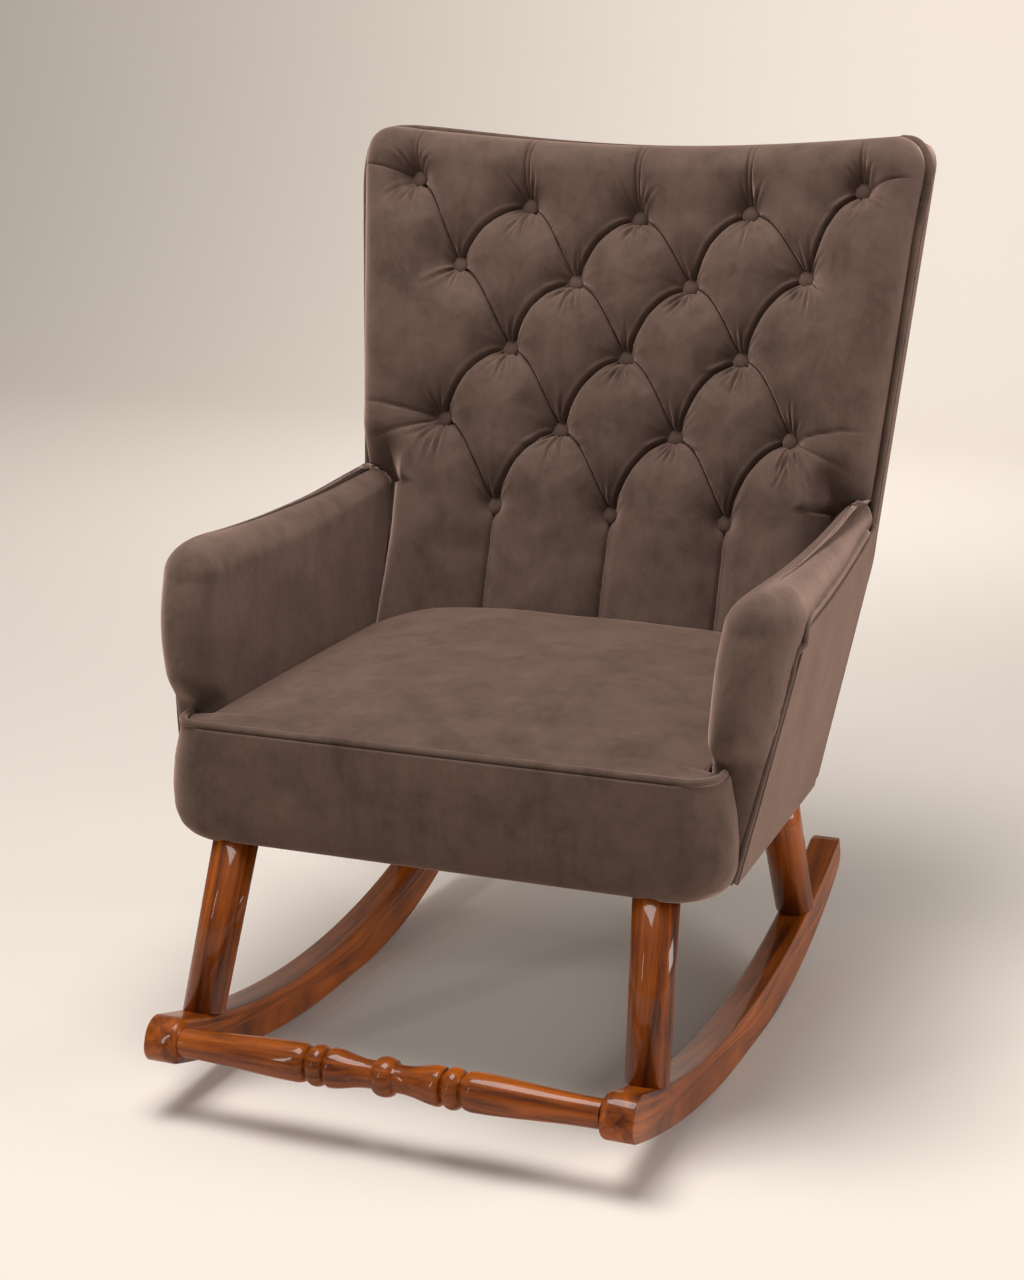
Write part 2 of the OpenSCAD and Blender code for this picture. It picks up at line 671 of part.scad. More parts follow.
strap_rows = 5;
strap_cols = 6;
module seat_webbing() color(black_cloth) {
    span_y = rail_back - rail_front;
    for (k = [0:strap_cols - 1]) {
        x = mix(-side_back_x + board_t + strap_w / 2 + 6, side_back_x - board_t - strap_w / 2 - 6,
                k / (strap_cols - 1));
        translate([x - strap_w / 2, rail_front + 4, frame_top])
            cube([strap_w, span_y - 8, strap_t]);
    }
    for (k = [0:strap_rows - 1]) {
        y = mix(rail_front + board_t + 40, rail_back - board_t - 40, k / (strap_rows - 1));
        half = mix(side_front_x, side_back_x, k / (strap_rows - 1)) - 6;
        translate([-half, y - strap_w / 2, frame_top]) cube([2 * half, strap_w, strap_t]);
    }
}

module dust_cover() color(black_cloth)
    difference() {
        board([[-side_front_x + 6, rail_front + 6], [side_front_x - 6, rail_front + 6],
               [side_back_x - 6, rail_back - 6], [-side_back_x + 6, rail_back - 6]],
              frame_bottom - 1.5, frame_bottom);
        for (side = [-1, 1]) for (top = [front_top, rear_top])
            translate([side * top.x - plate_w / 2 - 1, top.y - plate_w / 2 - 1, seat_bottom - 5])
                cube([plate_w + 2, plate_w + 2, 10]);
    }

// Seat upholstery

pad_base = frame_top + strap_t + soft_gap;
module seat_pad() color(fabric) {
    grid = [for (s = seat_rows) [for (c = seat_cols)
        let (y = seat_y(s)) [c * seat_w(y), y, seat_top(s, c)]]];
    as_mesh() difference() {
        relief(grid, [for (p = rim_points(grid)) [p.x, p.y, pad_base]],
               same_split(len(grid), len(grid[0])));
        translate([-seat_half_w - 10, -seat_front - 10, pad_base - 10])
            cube([2 * seat_half_w + 20, border_t + 10 + soft_gap, seat_edge - pad_base + 10]);
        for (side = [-1, 1]) mirrored(side)
            translate([front_rail_x - 1, -seat_front, pad_base - 10])
                cube([40, arm_front_gap, seat_edge - pad_base + 10]);
        leaning() linear_extrude(600) polygon(concat(
            [for (k = [-8:8]) [k * 40, -tuft_depth - 4 - bow(k * 40)]], [[320, 300], [-320, 300]]));
    }
}

// The border round the front of the seat, as level sections from its hem up
border_levels = [[0, -20, -8], [0.02, -13, -6], [0.08, -6, -3], [0.2, -1, -0.5],
                 [0.42, 0, 0], [0.68, -3, -1], [0.87, -8, -3], [1, -11, -5]];
function border_ring(level) = let (
    z = mix(seat_bottom, seat_edge, level[0]),
    w = seat_half_w + level[1],
    f = -seat_front - level[2],
    r = seat_corner)
    concat([for (a = [0:15:90]) [-w + r - r * cos(a), f + r - r * sin(a), z]],
           [for (x = [-0.6, -0.3, 0, 0.3, 0.6]) [x * w, f, z]],
           [for (a = [90:-15:0]) [w - r + r * cos(a), f + r - r * sin(a), z]],
           [[w, t_end, z], [-w, t_end, z]]);

module seat_front_border() color(fabric)
    as_mesh() difference() {
        loft([for (level = border_levels) border_ring(level)]);
        translate([-front_rail_x - soft_gap, rail_front - soft_gap, frame_bottom - 1.5 - soft_gap])
            cube([2 * (front_rail_x + soft_gap), 200, 300]);
        translate([-side_front_x - soft_gap, rail_front + 4, seat_bottom - 10])
            cube([2 * (side_front_x + soft_gap), 200, 300]);
        for (side = [-1, 1])
            translate([side * front_top.x - plate_w / 2 - 1, front_top.y - plate_w / 2 - 1,
                       seat_bottom - 1])
                cube([plate_w + 2, plate_w + 2, 10]);
    }

// The seat's piping runs round its front edge and back along both short returns
module seat_piping() color(fabric_dark) {
    r = seat_corner - 8;
    w = seat_half_w - 12 + piping_d / 2 + soft_gap;
    f = -seat_front + seat_lip - piping_d / 2 - soft_gap;
    z = seat_edge + piping_d / 2 - 0.7;
    path = concat(
        [[-w, t_end - piping_d / 2, z]],
        [for (a = [0:15:90]) [-w + r - r * cos(a), f + r - r * sin(a), z]],
        [for (s = [-0.75:0.25:0.75]) [s * (w - r), f, z]],
        [for (a = [90:-15:0]) [w - r + r * cos(a), f + r - r * sin(a), z]],
        [[w, t_end - piping_d / 2, z]]);
    tube(path, piping_d);
}

// Back frame

function post_ring(z, w) = let (
    x = post_x(z), y = post_y(z), d = mix(post_low_d, post_d, post_s(z)))
    [[x - w, y, z], [x, y, z], [x, y + d, z], [x - w, y + d, z]];

module back_post(side) color(pine) mirrored(side)
    loft([post_ring(frame_bottom, post_low.x - side_back_x - 1),
          post_ring(frame_top, post_x(frame_top) - side_back_x - 1),
          post_ring(frame_top + strap_t, post_w), post_ring(knee_z, post_w),
          post_ring(post_top_z, post_w)]);

// A band that follows the rails' arc in plan, between two offsets from the
// buttons' plane
module arc_band(near, far, w) {
    intersection() {
        translate([0, rail_front_n - rail_r]) difference() {
            circle(r = rail_r + far - rail_front_n, $fn = arc_fn);
            circle(r = rail_r + near - rail_front_n, $fn = arc_fn);
        }
        translate([-w, -200]) square([2 * w, 400]);
    }
}

module curved_rail(low, high, near, far, w) {
    leaning() translate([0, 0, low]) linear_extrude(high - low) arc_band(near, far, w);
}

// Rails are drawn this much past the posts' faces, then cut to them
rail_let_in = 6;
module back_top_rail() color(pine)
    difference() {
        curved_rail(top_rail_top - top_rail_h, top_rail_top, rail_front_n + strap_t,
                    rail_front_n + strap_t + board_t,
                    between_posts(top_rail_top - top_rail_h / 2) + rail_let_in);
        back_post(1);
        back_post(-1);
    }

lower_rail_t = 478;
lower_rail_h = 44;
module back_lower_rail() color(pine)
    difference() {
        curved_rail(lower_rail_t, lower_rail_t + lower_rail_h, rail_front_n + strap_t,
                    rail_front_n + strap_t + 14,
                    between_posts(lower_rail_t + lower_rail_h / 2) + rail_let_in);
        back_post(1);
        back_post(-1);
    }

module back_webbing() color(black_cloth)
    curved_rail(lower_rail_t, top_rail_top, rail_front_n, rail_front_n + strap_t,
                between_posts(lower_rail_t) - 2);

// Back upholstery

// The frame's front face at one height: its curved rails, then its posts
function frame_section(t) = let (
    z = (t + 8) * cos(back_lean),
    in_x = post_x(z) - post_w - 4,
    arc = [for (k = [-7:7]) let (x = k * in_x / 7)
        [x, rail_front_n - soft_gap - bow(x), t]],
    post_n = slope_n(post_y(z), z) - soft_gap - 0.5)
    concat([[-450, post_n, t], [-in_x - 1, post_n, t]], arc,
           [[in_x + 1, post_n, t], [450, post_n, t]],
           [for (k = [7:-1:-7]) [k * 450 / 7, 250, t]]);

// Rear face of the roll over the top of the back, under the outside cover
roll_w = seam_x(seam_high_z) - cover_t - soft_gap;
function rear_n(x) = let (edge = edge_n(top_rail_top) + side_band)
    edge - cover_t + (rail_front_n + board_t + 8 - edge)
    * pow(max(0, 1 - pow(min(1, abs(x) / roll_w), 6)), 0.6);

// Cells of the pad's grid are split along the folds between its buttons
function pad_split(cols, rows) = [for (a = [0:len(rows) - 2]) [for (b = [0:len(cols) - 2])
    let (i = (cols[b] + cols[b + 1]) / 2,
         j = min(last_row, max(0, (rows[a] + rows[a + 1]) / 2)),
         p = (i + j) / 2,
         q = (i - j) / 2)
    abs(i) > 3.2 ? i > 0 : abs(p - round(p)) < abs(q - round(q))]];

module tufted_back_pad() color(fabric) {
    grid = [for (j = j_list) [for (i = i_list) pad_point(i, j)]];
    base_n = 90;
    cut_x = [for (k = [-8:8]) k * roll_w / 8];
    leaning() as_mesh() difference() {
        relief(grid, [for (p = rim_points(grid)) [p.x, base_n, p.z]],
               pad_split(i_list, j_list));
        back_hollow();
        // The frame behind the padding, below the top of its rail
        loft([for (t = [pad_bottom_t - 40, pad_step_low, top_rail_top + soft_gap])
            frame_section(t)]);
        // The thin lower edge, tucked behind the seat
        translate([-400, 8, pad_bottom_t - 50]) cube([800, 200, lower_rail_t - pad_bottom_t]);
        // The outside cover, behind the top roll
        translate([0, 0, top_rail_top - 1]) linear_extrude(100)
            polygon(concat([for (x = cut_x) [x, rear_n(x)]],
                           [[400, rear_n(roll_w)], [400, 200],
                            [-400, 200], [-400, rear_n(roll_w)]]));
    }
}

// The real padding is light: a skin of foam over loose fibre. Hollow cells
// behind the diamonds stand for that fibre, so that the back isn't too heavy.
hollow_skin = 7;
hollow_i = concat([-4.35, -4, -3.65, -3.3], [for (i = [-3:0.5:3]) i], [3.3, 3.65, 4, 4.35]);
hollow_j = concat([5.4, 5], [for (j = [4.5:-0.5:0]) j], [-0.3, -0.5]);
module back_hollow() {
    grid = [for (j = hollow_j) [for (i = hollow_i) pad_point(i, j) + [0, hollow_skin, 0]]];
    relief(grid, [for (p = rim_points(grid)) [p.x, 60, p.z]], pad_split(hollow_i, hollow_j));
}

button_h = 6;
button_gap_n = 7.8;
module covered_button() {
    rotate([90, 0, 0]) rotate_extrude($fn = 24)
        polygon(concat([[0, 0], [1.5, 3], [1.5, button_gap_n], [button_d / 2 - 1.5, button_gap_n]],
                       [for (a = [0:18:90]) [button_d / 2 * cos(a),
                           button_gap_n + 1.5 + (button_h - 1.5) * sin(a)]]));
}

module tuft_buttons() color(fabric_dark)
    leaning() for (b = buttons)
        translate([b.x, -sweep * b.x * b.x - soft_gap, b.y]) covered_button();

toggle_d = 14;
// Toggles hold the buttons' twine behind the webbing; the top row's twine is
// stapled to the top rail
module twine_toggles() color(steel)
    leaning() for (b = buttons) if (b.y < top_rail_top - top_rail_h - 8)
        translate([b.x, rail_front_n + strap_t - bow(b.x) + 0.3
                        + toggle_d / 2 * abs(b.x) / rail_r, b.y])
            rotate([-90, 0, 0]) cylinder(d = toggle_d, h = 3, $fn = 32);

rear_cols = [-1, -0.995, -0.98, -0.95, -0.9, -0.82, -0.68, -0.45, -0.2, 0,
             0.2, 0.45, 0.68, 0.82, 0.9, 0.95, 0.98, 0.995, 1];
// Levels of the outside cover: 3 steps up to the seams' knees and 6 above them
rear_rows = [0, 1, 2, 3, 4, 5, 6, 7, 8, 9];
function rear_z(s, r) = r < 3 ? mix(frame_bottom + soft_gap, knee_z, r / 3)
    : mix(knee_z, rear_top_z(s), (r - 3) / 6);
function rear_top_z(s) = let (x = s * seam_x(seam_high_z))
    crest_z(x) - 10 - corner_drop(x, seam_x(seam_high_z));
function rear_point(s, r, inset) = let (
    z = rear_z(s, r),
    w = seam_x(z) - inset)
    [s * w, rear_y(s, z) - inset, z];
function rear_edge(s, r, inset) = let (z = rear_z(s, r))
    [s * (seam_x(z) - inset), seam_y(z) + piping_d / 2 + 1 + 11 * clamp01((z - 900) / 75), z];
function rear_grid(inset) = [for (r = rear_rows) concat(
    [rear_edge(-1, r, inset)], [for (s = rear_cols) rear_point(s, r, inset)],
    [rear_edge(1, r, inset)])];

module outside_back_panel() color(fabric)
    sheet(rear_grid(cover_t), rear_grid(0));

// Piping up one side seam, over the top edge and down the other side
function seam_path_low(side) = [for (z = [frame_bottom + 2:46:knee_z], k = [0])
    [side * (seam_x(z) - piping_d / 2), seam_y(z), z]];
function seam_path_high(side) = [for (s = [0:0.1:0.9]) let (z = mix(knee_z, seam_high_z - 38, s))
    [side * (seam_x(z) - piping_d / 2), seam_y(z), z]];
function crest_path(side) = [for (a = [0:15:90])
    let (w = seam_x(seam_high_z) - piping_d / 2,
         x = w - crest_corner * (1 - cos(a)),
         z = crest_z(x) - crest_corner * (1 - sin(a)) - 3)
    [side * x, seam_y(z) + 10 + 30 * (1 - cos(a)), z]];
function turned(list) = [for (k = [len(list) - 1:-1:0]) list[k]];

module back_piping() color(fabric_dark) {
    right = concat(seam_path_low(1), seam_path_high(1), crest_path(1));
    left = concat(seam_path_low(-1), seam_path_high(-1), crest_path(-1));
    tube(concat(left, crest_run, turned(right)), piping_d);
}

// Arms

function arm_frame_out(y, z) = panel_x(y, z) - arm_frame_in;
function arm_post_in(z) = max(side_front_x + 0.5,
    arm_frame_out(arm_frame_y(z), z) - arm_frame_t - 16 * clamp01((frame_top + 20 - z) / 80));
function arm_post_ring(z) = let (y = arm_frame_y(z))
    [[arm_post_in(z), y, z], [arm_frame_out(y, z), y, z],
     [arm_frame_out(y + arm_post_d, z), y + arm_post_d, z],
     [arm_post_in(z), y + arm_post_d, z]];

module arm_post(side) color(pine) mirrored(side)
    loft([for (z = arm_frame_levels) arm_post_ring(z)]);

function arm_rail_ring(s) = let (
    low = arm_frame_top - arm_rail_h,
    high = arm_frame_top,
    y0 = mix(arm_frame_y(low) + arm_post_d, post_y(low), s),
    y1 = mix(arm_frame_y(high) + arm_post_d, post_y(high), s),
    x0 = arm_frame_out(y0, low),
    x1 = arm_frame_out(y1, high))
    [[x0 - arm_frame_t, y0, low], [x0, y0, low], [x1, y1, high], [x1 - arm_frame_t, y1, high]];

module arm_rail(side) color(pine) mirrored(side)
    loft([for (s = [1:-0.25:0]) arm_rail_ring(s)]);

// Points of one arm's section at height v, from 0 at the hem to 1 at its seam
function arm_ring(v, inset, lift) = let (
    e = arm_edge(v),
    zn = mix(seat_bottom, arm_seam, v),
    half = 1 - inset,
    xi0 = arm_inner_x(v),
    nose0 = arm_nose_y(v),
    mid = (xi0 + e.x) / 2,
    xi = mix(mid, xi0, half),
    xe = mix(mid, e.x, half),
    nose = nose0 + 55 * inset,
    ye = e.y + 30 * inset,
    ys = max(nose + 44, -178),
    xm = mix(xi, xe, 0.36),
    inner = [for (s = [1, 0.8, 0.6, 0.4, 0.2, 0]) let (y = mix(ys, arm_back_y(zn), s)) [xi, y]],
    front = [for (a = [18:18:90]) [xm - (xm - xi) * cos(a), ys + (nose - ys) * sin(a)]],
    side = [for (a = [18:18:90]) [xm + (xe - xm) * sin(a), ye + (nose - ye) * cos(a)]],
    outer = [for (s = [0.15, 0.3, 0.45, 0.6, 0.8, 1])
        let (y = mix(ye, min(arm_back_y(zn), seam_y(zn) - piping_d / 2 - 0.5), s),
             x = panel_x(y, min(zn, arm_seam)))
        [mix((xi0 + x) / 2, x, half), y]])
    [for (p = concat(inner, front, side, outer))
        [p.x, p.y, mix(seat_bottom + 2, arm_seam_z(p.y), v)
                   + lift * (arm_top_z(p.y) - arm_seam_z(p.y))]];
function arm_back_y(z) = post_y(z) - soft_gap - 16 * clamp01((z - step_z + 30) / 25);

module arm_pad(side) color(fabric) mirrored(side)
    as_mesh() difference() {
        loft(concat(
            [for (v = [0, 0.1, 0.25, 0.4, nose_v, nose_v + 0.025, 0.54, 0.58, 0.63, 0.72, 0.82, 0.92, 1])
                arm_ring(v, 0, 0)],
            [for (a = [18, 36, 52, 66, 78, 87]) arm_ring(1, 1 - cos(a), sin(a))]));
        arm_recess();
        translate([side_front_x - 60, arm_low_y + arm_foam - soft_gap, seat_bottom - 20])
            cube([140, 600, frame_top + soft_gap - seat_bottom + 20]);
        tube(arm_seam_path(), piping_d + 2 * soft_gap);
    }

// The cord's path up the arm's outer front edge and back along its top
function arm_seam_path() = concat(
    [for (v = [0.02:0.098:0.9]) let (e = arm_edge(v))
        [e.x - 1, e.y - 1, mix(seat_bottom, arm_seam, v)]],
    [for (a = [0:22.5:90]) let (y = arm_seam_y - 1 + 22 * (1 - cos(a)))
        [arm_half_w - 1 - 1.5 * (1 - cos(a)), y, arm_seam_z(y) - 22 * (1 - sin(a))]],
    [for (s = [0.12:0.11:1.0]) let (y = mix(arm_seam_y, seam_y(arm_seam + 16) - 8, s))
        [panel_x(y, arm_seam_z(y)) - 1, y, arm_seam_z(y)]]);

// Room in the padding for the outer panel and the frame behind it
module arm_recess() {
    last = 8;
    function section(z, ahead, inset, sloped) = let (
        y0 = arm_edge(clamp01(arm_v(z))).y + ahead,
        y1 = seam_y(z) + 20)
        [for (k = [0:last]) let (y = mix(y0, y1, k / last), h = sloped ? arm_seam_z(y) - 1 : z)
            [panel_x(y, h) - inset, y, h]];
    function closed(near) =
        concat(near, [[450, near[last].y, near[last].z], [450, near[0].y, near[0].z]]);
    loft(concat([for (z = concat([seat_bottom - 5], arm_frame_levels))
                    turned(closed(section(z, 0, cover_t + 2 * soft_gap, false)))],
                [turned(closed(section(arm_seam - 1, 0, cover_t + 2 * soft_gap, true)))]));
    loft([for (z = concat(arm_frame_levels, [arm_seam - 12]))
        turned(closed(section(z, arm_foam - soft_gap, arm_frame_in + arm_frame_t + 1
                              + 16 * clamp01((frame_top + 20 - z) / 80), false)))]);
}

panel_rows = [0, 0.2, 0.4, 0.6, 0.8, 1];
panel_cols = [0, 0.08, 0.2, 0.35, 0.5, 0.65, 0.8, 0.92, 1];
function panel_point(u, v, inset) = let (
    z0 = mix(frame_bottom - 1.5, arm_seam, v),
    y0 = mix(arm_edge(clamp01(arm_v(z0))).y + piping_d / 2, seam_y(z0) - piping_d / 2, u),
    z = mix(frame_bottom - 1.5, arm_seam_z(y0) - piping_d / 2, v),
    y = mix(arm_edge(clamp01(arm_v(z))).y + piping_d / 2, seam_y(z) - piping_d / 2, u))
    [panel_x(y, z) - inset, y, z];
function panel_grid(inset) = [for (v = panel_rows) [for (u = panel_cols) panel_point(u, v, inset)]];

module arm_panel(side) color(fabric) mirrored(side)
    as_mesh() difference() {
        rotate([0, 0, 90]) sheet_turned();
        tube(arm_seam_path(), piping_d + 2 * soft_gap);
    }

module sheet_turned() {
    function swing(grid) = [for (row = grid) [for (p = row) [p.y, -p.x, p.z]]];
    sheet(swing(panel_grid(0)), swing(panel_grid(cover_t)));
}

module arm_piping(side) color(fabric_dark) mirrored(side)
    tube(arm_seam_path(), piping_d);

module placed() translate([0, -depth_middle, 0]) children();

placed() rocker(-1);  // rocker_left
placed() rocker(1);  // rocker_right
placed() leg(-1, front_foot, front_top);  // front_leg_left
placed() leg(1, front_foot, front_top);  // front_leg_right
placed() leg(-1, rear_foot, rear_top);  // rear_leg_left
placed() leg(1, rear_foot, rear_top);  // rear_leg_right
placed() front_stretcher();
placed() rocker_screws();
placed() leg_bolts();
placed() leg_plates();
placed() seat_front_rail();
placed() seat_back_rail();
placed() seat_side_rail(-1);  // seat_side_rail_left
placed() seat_side_rail(1);  // seat_side_rail_right
placed() corner_blocks();
placed() seat_webbing();
placed() seat_pad();
placed() seat_front_border();
placed() seat_piping();
placed() dust_cover();
placed() back_post(-1);  // back_post_left
placed() back_post(1);  // back_post_right
placed() back_top_rail();
placed() back_lower_rail();
placed() back_webbing();
placed() tufted_back_pad();
placed() tuft_buttons();
placed() twine_toggles();
placed() outside_back_panel();
placed() back_piping();
placed() arm_post(-1);  // arm_post_left
placed() arm_post(1);  // arm_post_right
placed() arm_rail(-1);  // arm_rail_left
placed() arm_rail(1);  // arm_rail_right
placed() arm_pad(-1);  // arm_pad_left
placed() arm_pad(1);  // arm_pad_right
placed() arm_panel(-1);  // arm_panel_left
placed() arm_panel(1);  // arm_panel_right
placed() arm_piping(-1);  // arm_piping_left
placed() arm_piping(1);  // arm_piping_right
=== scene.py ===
import json
import math

import bmesh
import bpy
import numpy as np
from bpy.props import FloatProperty, FloatVectorProperty, PointerProperty
from mathutils import Matrix, Vector, kdtree


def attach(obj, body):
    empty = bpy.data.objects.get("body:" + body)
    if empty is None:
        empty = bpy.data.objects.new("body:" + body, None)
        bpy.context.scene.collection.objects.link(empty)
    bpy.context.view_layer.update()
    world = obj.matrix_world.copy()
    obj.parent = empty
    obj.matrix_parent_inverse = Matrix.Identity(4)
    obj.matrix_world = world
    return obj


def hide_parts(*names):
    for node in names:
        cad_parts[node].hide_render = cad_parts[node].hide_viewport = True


bl_info = {
    "name": "Wingback rocking chair",
    "version": (1, 0, 0),
    "blender": (4, 5, 0),
    "location": "3D View > Sidebar > Rocker",
    "description": "Builds the upholstery, woodwork and studio of a wingback rocking chair",
    "category": "Add Mesh",
}

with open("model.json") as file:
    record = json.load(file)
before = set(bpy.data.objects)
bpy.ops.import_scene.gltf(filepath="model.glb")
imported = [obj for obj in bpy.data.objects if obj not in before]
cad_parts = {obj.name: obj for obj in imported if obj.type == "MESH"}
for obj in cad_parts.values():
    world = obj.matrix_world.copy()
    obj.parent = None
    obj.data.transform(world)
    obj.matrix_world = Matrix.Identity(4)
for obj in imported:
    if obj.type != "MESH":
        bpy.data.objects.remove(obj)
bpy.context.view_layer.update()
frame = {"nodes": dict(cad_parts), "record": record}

MM = 0.001
# The model's origin lies this far behind the line on which the rockers stand
FLOOR_LINE_Y = -57.9


def srgb(code):
    """Linear colour of an sRGB hex value."""
    parts = [int(code[k:k + 2], 16) / 255 for k in (1, 3, 5)]
    return tuple(c / 12.92 if c <= 0.04045 else ((c + 0.055) / 1.055) ** 2.4 for c in parts)


# Sizes and colours that a user would change

def length(name, text, default, low, high):
    return FloatProperty(name=name, description=text, default=default, min=low, max=high,
                         unit="LENGTH", subtype="DISTANCE")


def paint(name, text, code):
    return FloatVectorProperty(name=name, description=text, subtype="COLOR", size=3,
                               min=0, max=1, default=srgb(code))


class UpholsterySizes(bpy.types.PropertyGroup):
    tuft_depth: length("Tuft depth", "How far the diamonds stand in front of their buttons",
                       0.050, 0.01, 0.06)
    fold_depth: length("Fold depth", "Depth of the crease along each pleat", 0.007, 0.0, 0.012)
    gather_depth: length("Gather depth", "Depth of the small folds that fan out from a button",
                         0.005, 0.0, 0.008)
    button_width: length("Button width", "Diameter of a covered button", 0.022, 0.01, 0.03)
    welt_width: length("Welt width", "Thickness of the covered cord in the seams",
                       0.009, 0.004, 0.015)


class WoodSizes(bpy.types.PropertyGroup):
    edge_round: length("Outer arris", "Round on the rockers' outer edges", 0.0016, 0.0, 0.006)
    inner_round: length("Inner arris", "Round on the rockers' inner edges", 0.008, 0.0, 0.012)


class ChairColours(bpy.types.PropertyGroup):
    velvet: paint("Velvet", "Middle colour of the velvet", "#54433b")
    velvet_shade: paint("Brushed velvet", "Velvet where its pile lies away from the eye",
                        "#3f312a")
    velvet_sheen: paint("Velvet sheen", "Light that the tips of the pile give back", "#d8b5a6")
    wood_light: paint("Light grain", "Early wood under the stain", "#a9540a")
    wood_dark: paint("Dark grain", "Late wood and pores that took up the stain", "#361002")
    backdrop: paint("Backdrop", "Floor and backdrop paper", "#e2dad3")


def sizes():
    return bpy.context.scene.chair_upholstery


def wood_sizes():
    return bpy.context.scene.chair_wood


def colours():
    return bpy.context.scene.chair_colours


# Small tools

def clamp01(a):
    return np.clip(a, 0.0, 1.0)


def mix(a, b, s):
    return a + (b - a) * s


def smooth(a):
    a = clamp01(a)
    return a * a * (3 - 2 * a)


def link(name, mesh):
    obj = bpy.data.objects.new(name, mesh)
    bpy.context.scene.collection.objects.link(obj)
    return obj


def place_m(x, y, z):
    """A place in metres from one in mm measured from the floor line."""
    return Vector((x, y + FLOOR_LINE_Y, z)) * MM


def mesh_from(bm, name):
    mesh = bpy.data.meshes.new(name)
    bm.to_mesh(mesh)
    bm.free()
    return mesh


def piece_from(bm, name, material, replaces):
    """Makes a piece of the chair from a bmesh in place, in metres."""
    obj = link(name, mesh_from(bm, name))
    obj.data.materials.append(material)
    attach(obj, "root")
    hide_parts(*replaces)
    return obj


def cloth_piece(bm, name, node_name):
    """A velvet piece in place of a node."""
    obj = piece_from(bm, name, velvet(), (node_name,))
    return obj


def smooth_shaded(bm):
    for face in bm.faces:
        face.smooth = True


def outward(bm):
    bmesh.ops.recalc_face_normals(bm, faces=bm.faces)


def rim(bm):
    return [e for e in bm.edges if e.is_boundary]


def new_verts(made):
    return [g for g in made["geom"] if isinstance(g, bmesh.types.BMVert)]


def close_rim(bm):
    """Closes each open edge loop with one face."""
    return bmesh.ops.holes_fill(bm, edges=rim(bm), sides=0)["faces"]


def grid_sheet(places):
    """A sheet of quads through an array of places, rows by columns by 3, in mm."""
    rows, columns = places.shape[:2]
    bm = bmesh.new()
    bmesh.ops.create_grid(bm, x_segments=columns - 1, y_segments=rows - 1, size=1)
    for v, p in zip(bm.verts, places.reshape(-1, 3)):
        v.co = (p[0] * MM, (p[1] + FLOOR_LINE_Y) * MM, p[2] * MM)
    smooth_shaded(bm)
    return bm


def thicken(bm, thickness):
    """Gives a sheet its thickness, in metres, with its faces outward."""
    outward(bm)
    bmesh.ops.solidify(bm, geom=bm.faces, thickness=thickness)
    outward(bm)
    smooth_shaded(bm)


def tube(points, width, sides=14):
    """A round cord along points in mm, closed at both ends."""
    points = np.array(points, float)
    bm = bmesh.new()
    rings = []
    last = len(points) - 1
    side = None
    for k, p in enumerate(points):
        ahead = Vector(points[min(last, k + 1)] - points[max(0, k - 1)]).normalized()
        if side is None:
            side = ahead.orthogonal().normalized()
        side = (side - ahead * side.dot(ahead)).normalized()
        turn = Matrix((side, ahead.cross(side), ahead)).transposed().to_4x4()
        turn.translation = Vector((p[0], p[1] + FLOOR_LINE_Y, p[2])) * MM
        made = bmesh.ops.create_circle(bm, cap_ends=k in (0, last), segments=sides,
                                       radius=width / 2 * MM, matrix=turn)
        verts = made["verts"]
        rings.append(verts)
    for low, high in zip(rings, rings[1:]):
        for k in range(sides):
            bm.faces.new((low[k], low[(k + 1) % sides], high[(k + 1) % sides], high[k]))
    outward(bm)
    for face in bm.faces:
        face.smooth = len(face.verts) == 4
    return bm


def spaced(points, step):
    """Points a step apart on a smooth curve through the given ones."""
    points = np.array(points, float)
    knots = np.concatenate([[0], np.cumsum(np.linalg.norm(np.diff(points, axis=0), axis=1))])
    slopes = np.gradient(points, knots, axis=0)
    out = []
    s = np.linspace(0, knots[-1], max(4, int(knots[-1] / step)))
    for a in s:
        k = min(len(knots) - 2, max(0, int(np.searchsorted(knots, a, side="right")) - 1))
        h = knots[k + 1] - knots[k]
        u = (a - knots[k]) / h
        out.append((1 + 2 * u) * (1 - u) ** 2 * points[k] + u * (1 - u) ** 2 * h * slopes[k]
                   + u * u * (3 - 2 * u) * points[k + 1] + u * u * (u - 1) * h * slopes[k + 1])
    return np.array(out)


# Materials

def node(tree, kind, *inputs, output=0, stops=(), **settings):
    """Adds a shader node and returns one of its outputs, the first unless named.

    Inputs go to its sockets in order and settings to the sockets of that name,
    each as a value or a link; a name in small letters is one of its properties.
    Stops are the places and colours along a colour ramp."""
    made = tree.nodes.new("ShaderNode" + kind)
    for key, value in (*enumerate(inputs), *settings.items()):
        if isinstance(key, str) and key.islower():
            setattr(made, key, value)
        elif isinstance(value, bpy.types.NodeSocket):
            tree.links.new(value, made.inputs[key])
        else:
            made.inputs[key].default_value = value
    if stops:
        elements = made.color_ramp.elements
        while len(elements) < len(stops):
            elements.new(0.5)
        for element, (place, colour) in zip(elements, stops):
            element.position, element.color = place, (*colour, 1)
    return made.outputs[output]


def new_material(name, **values):
    """A material with values on its shader's sockets, or the one made before."""
    material = bpy.data.materials.get(name)
    if material:
        return material, None, None
    material = bpy.data.materials.new(name)
    material.use_nodes = True
    shader = material.node_tree.nodes["Principled BSDF"]
    for key, value in values.items():
        shader.inputs[key.replace("_", " ")].default_value = value
    return material, material.node_tree, shader


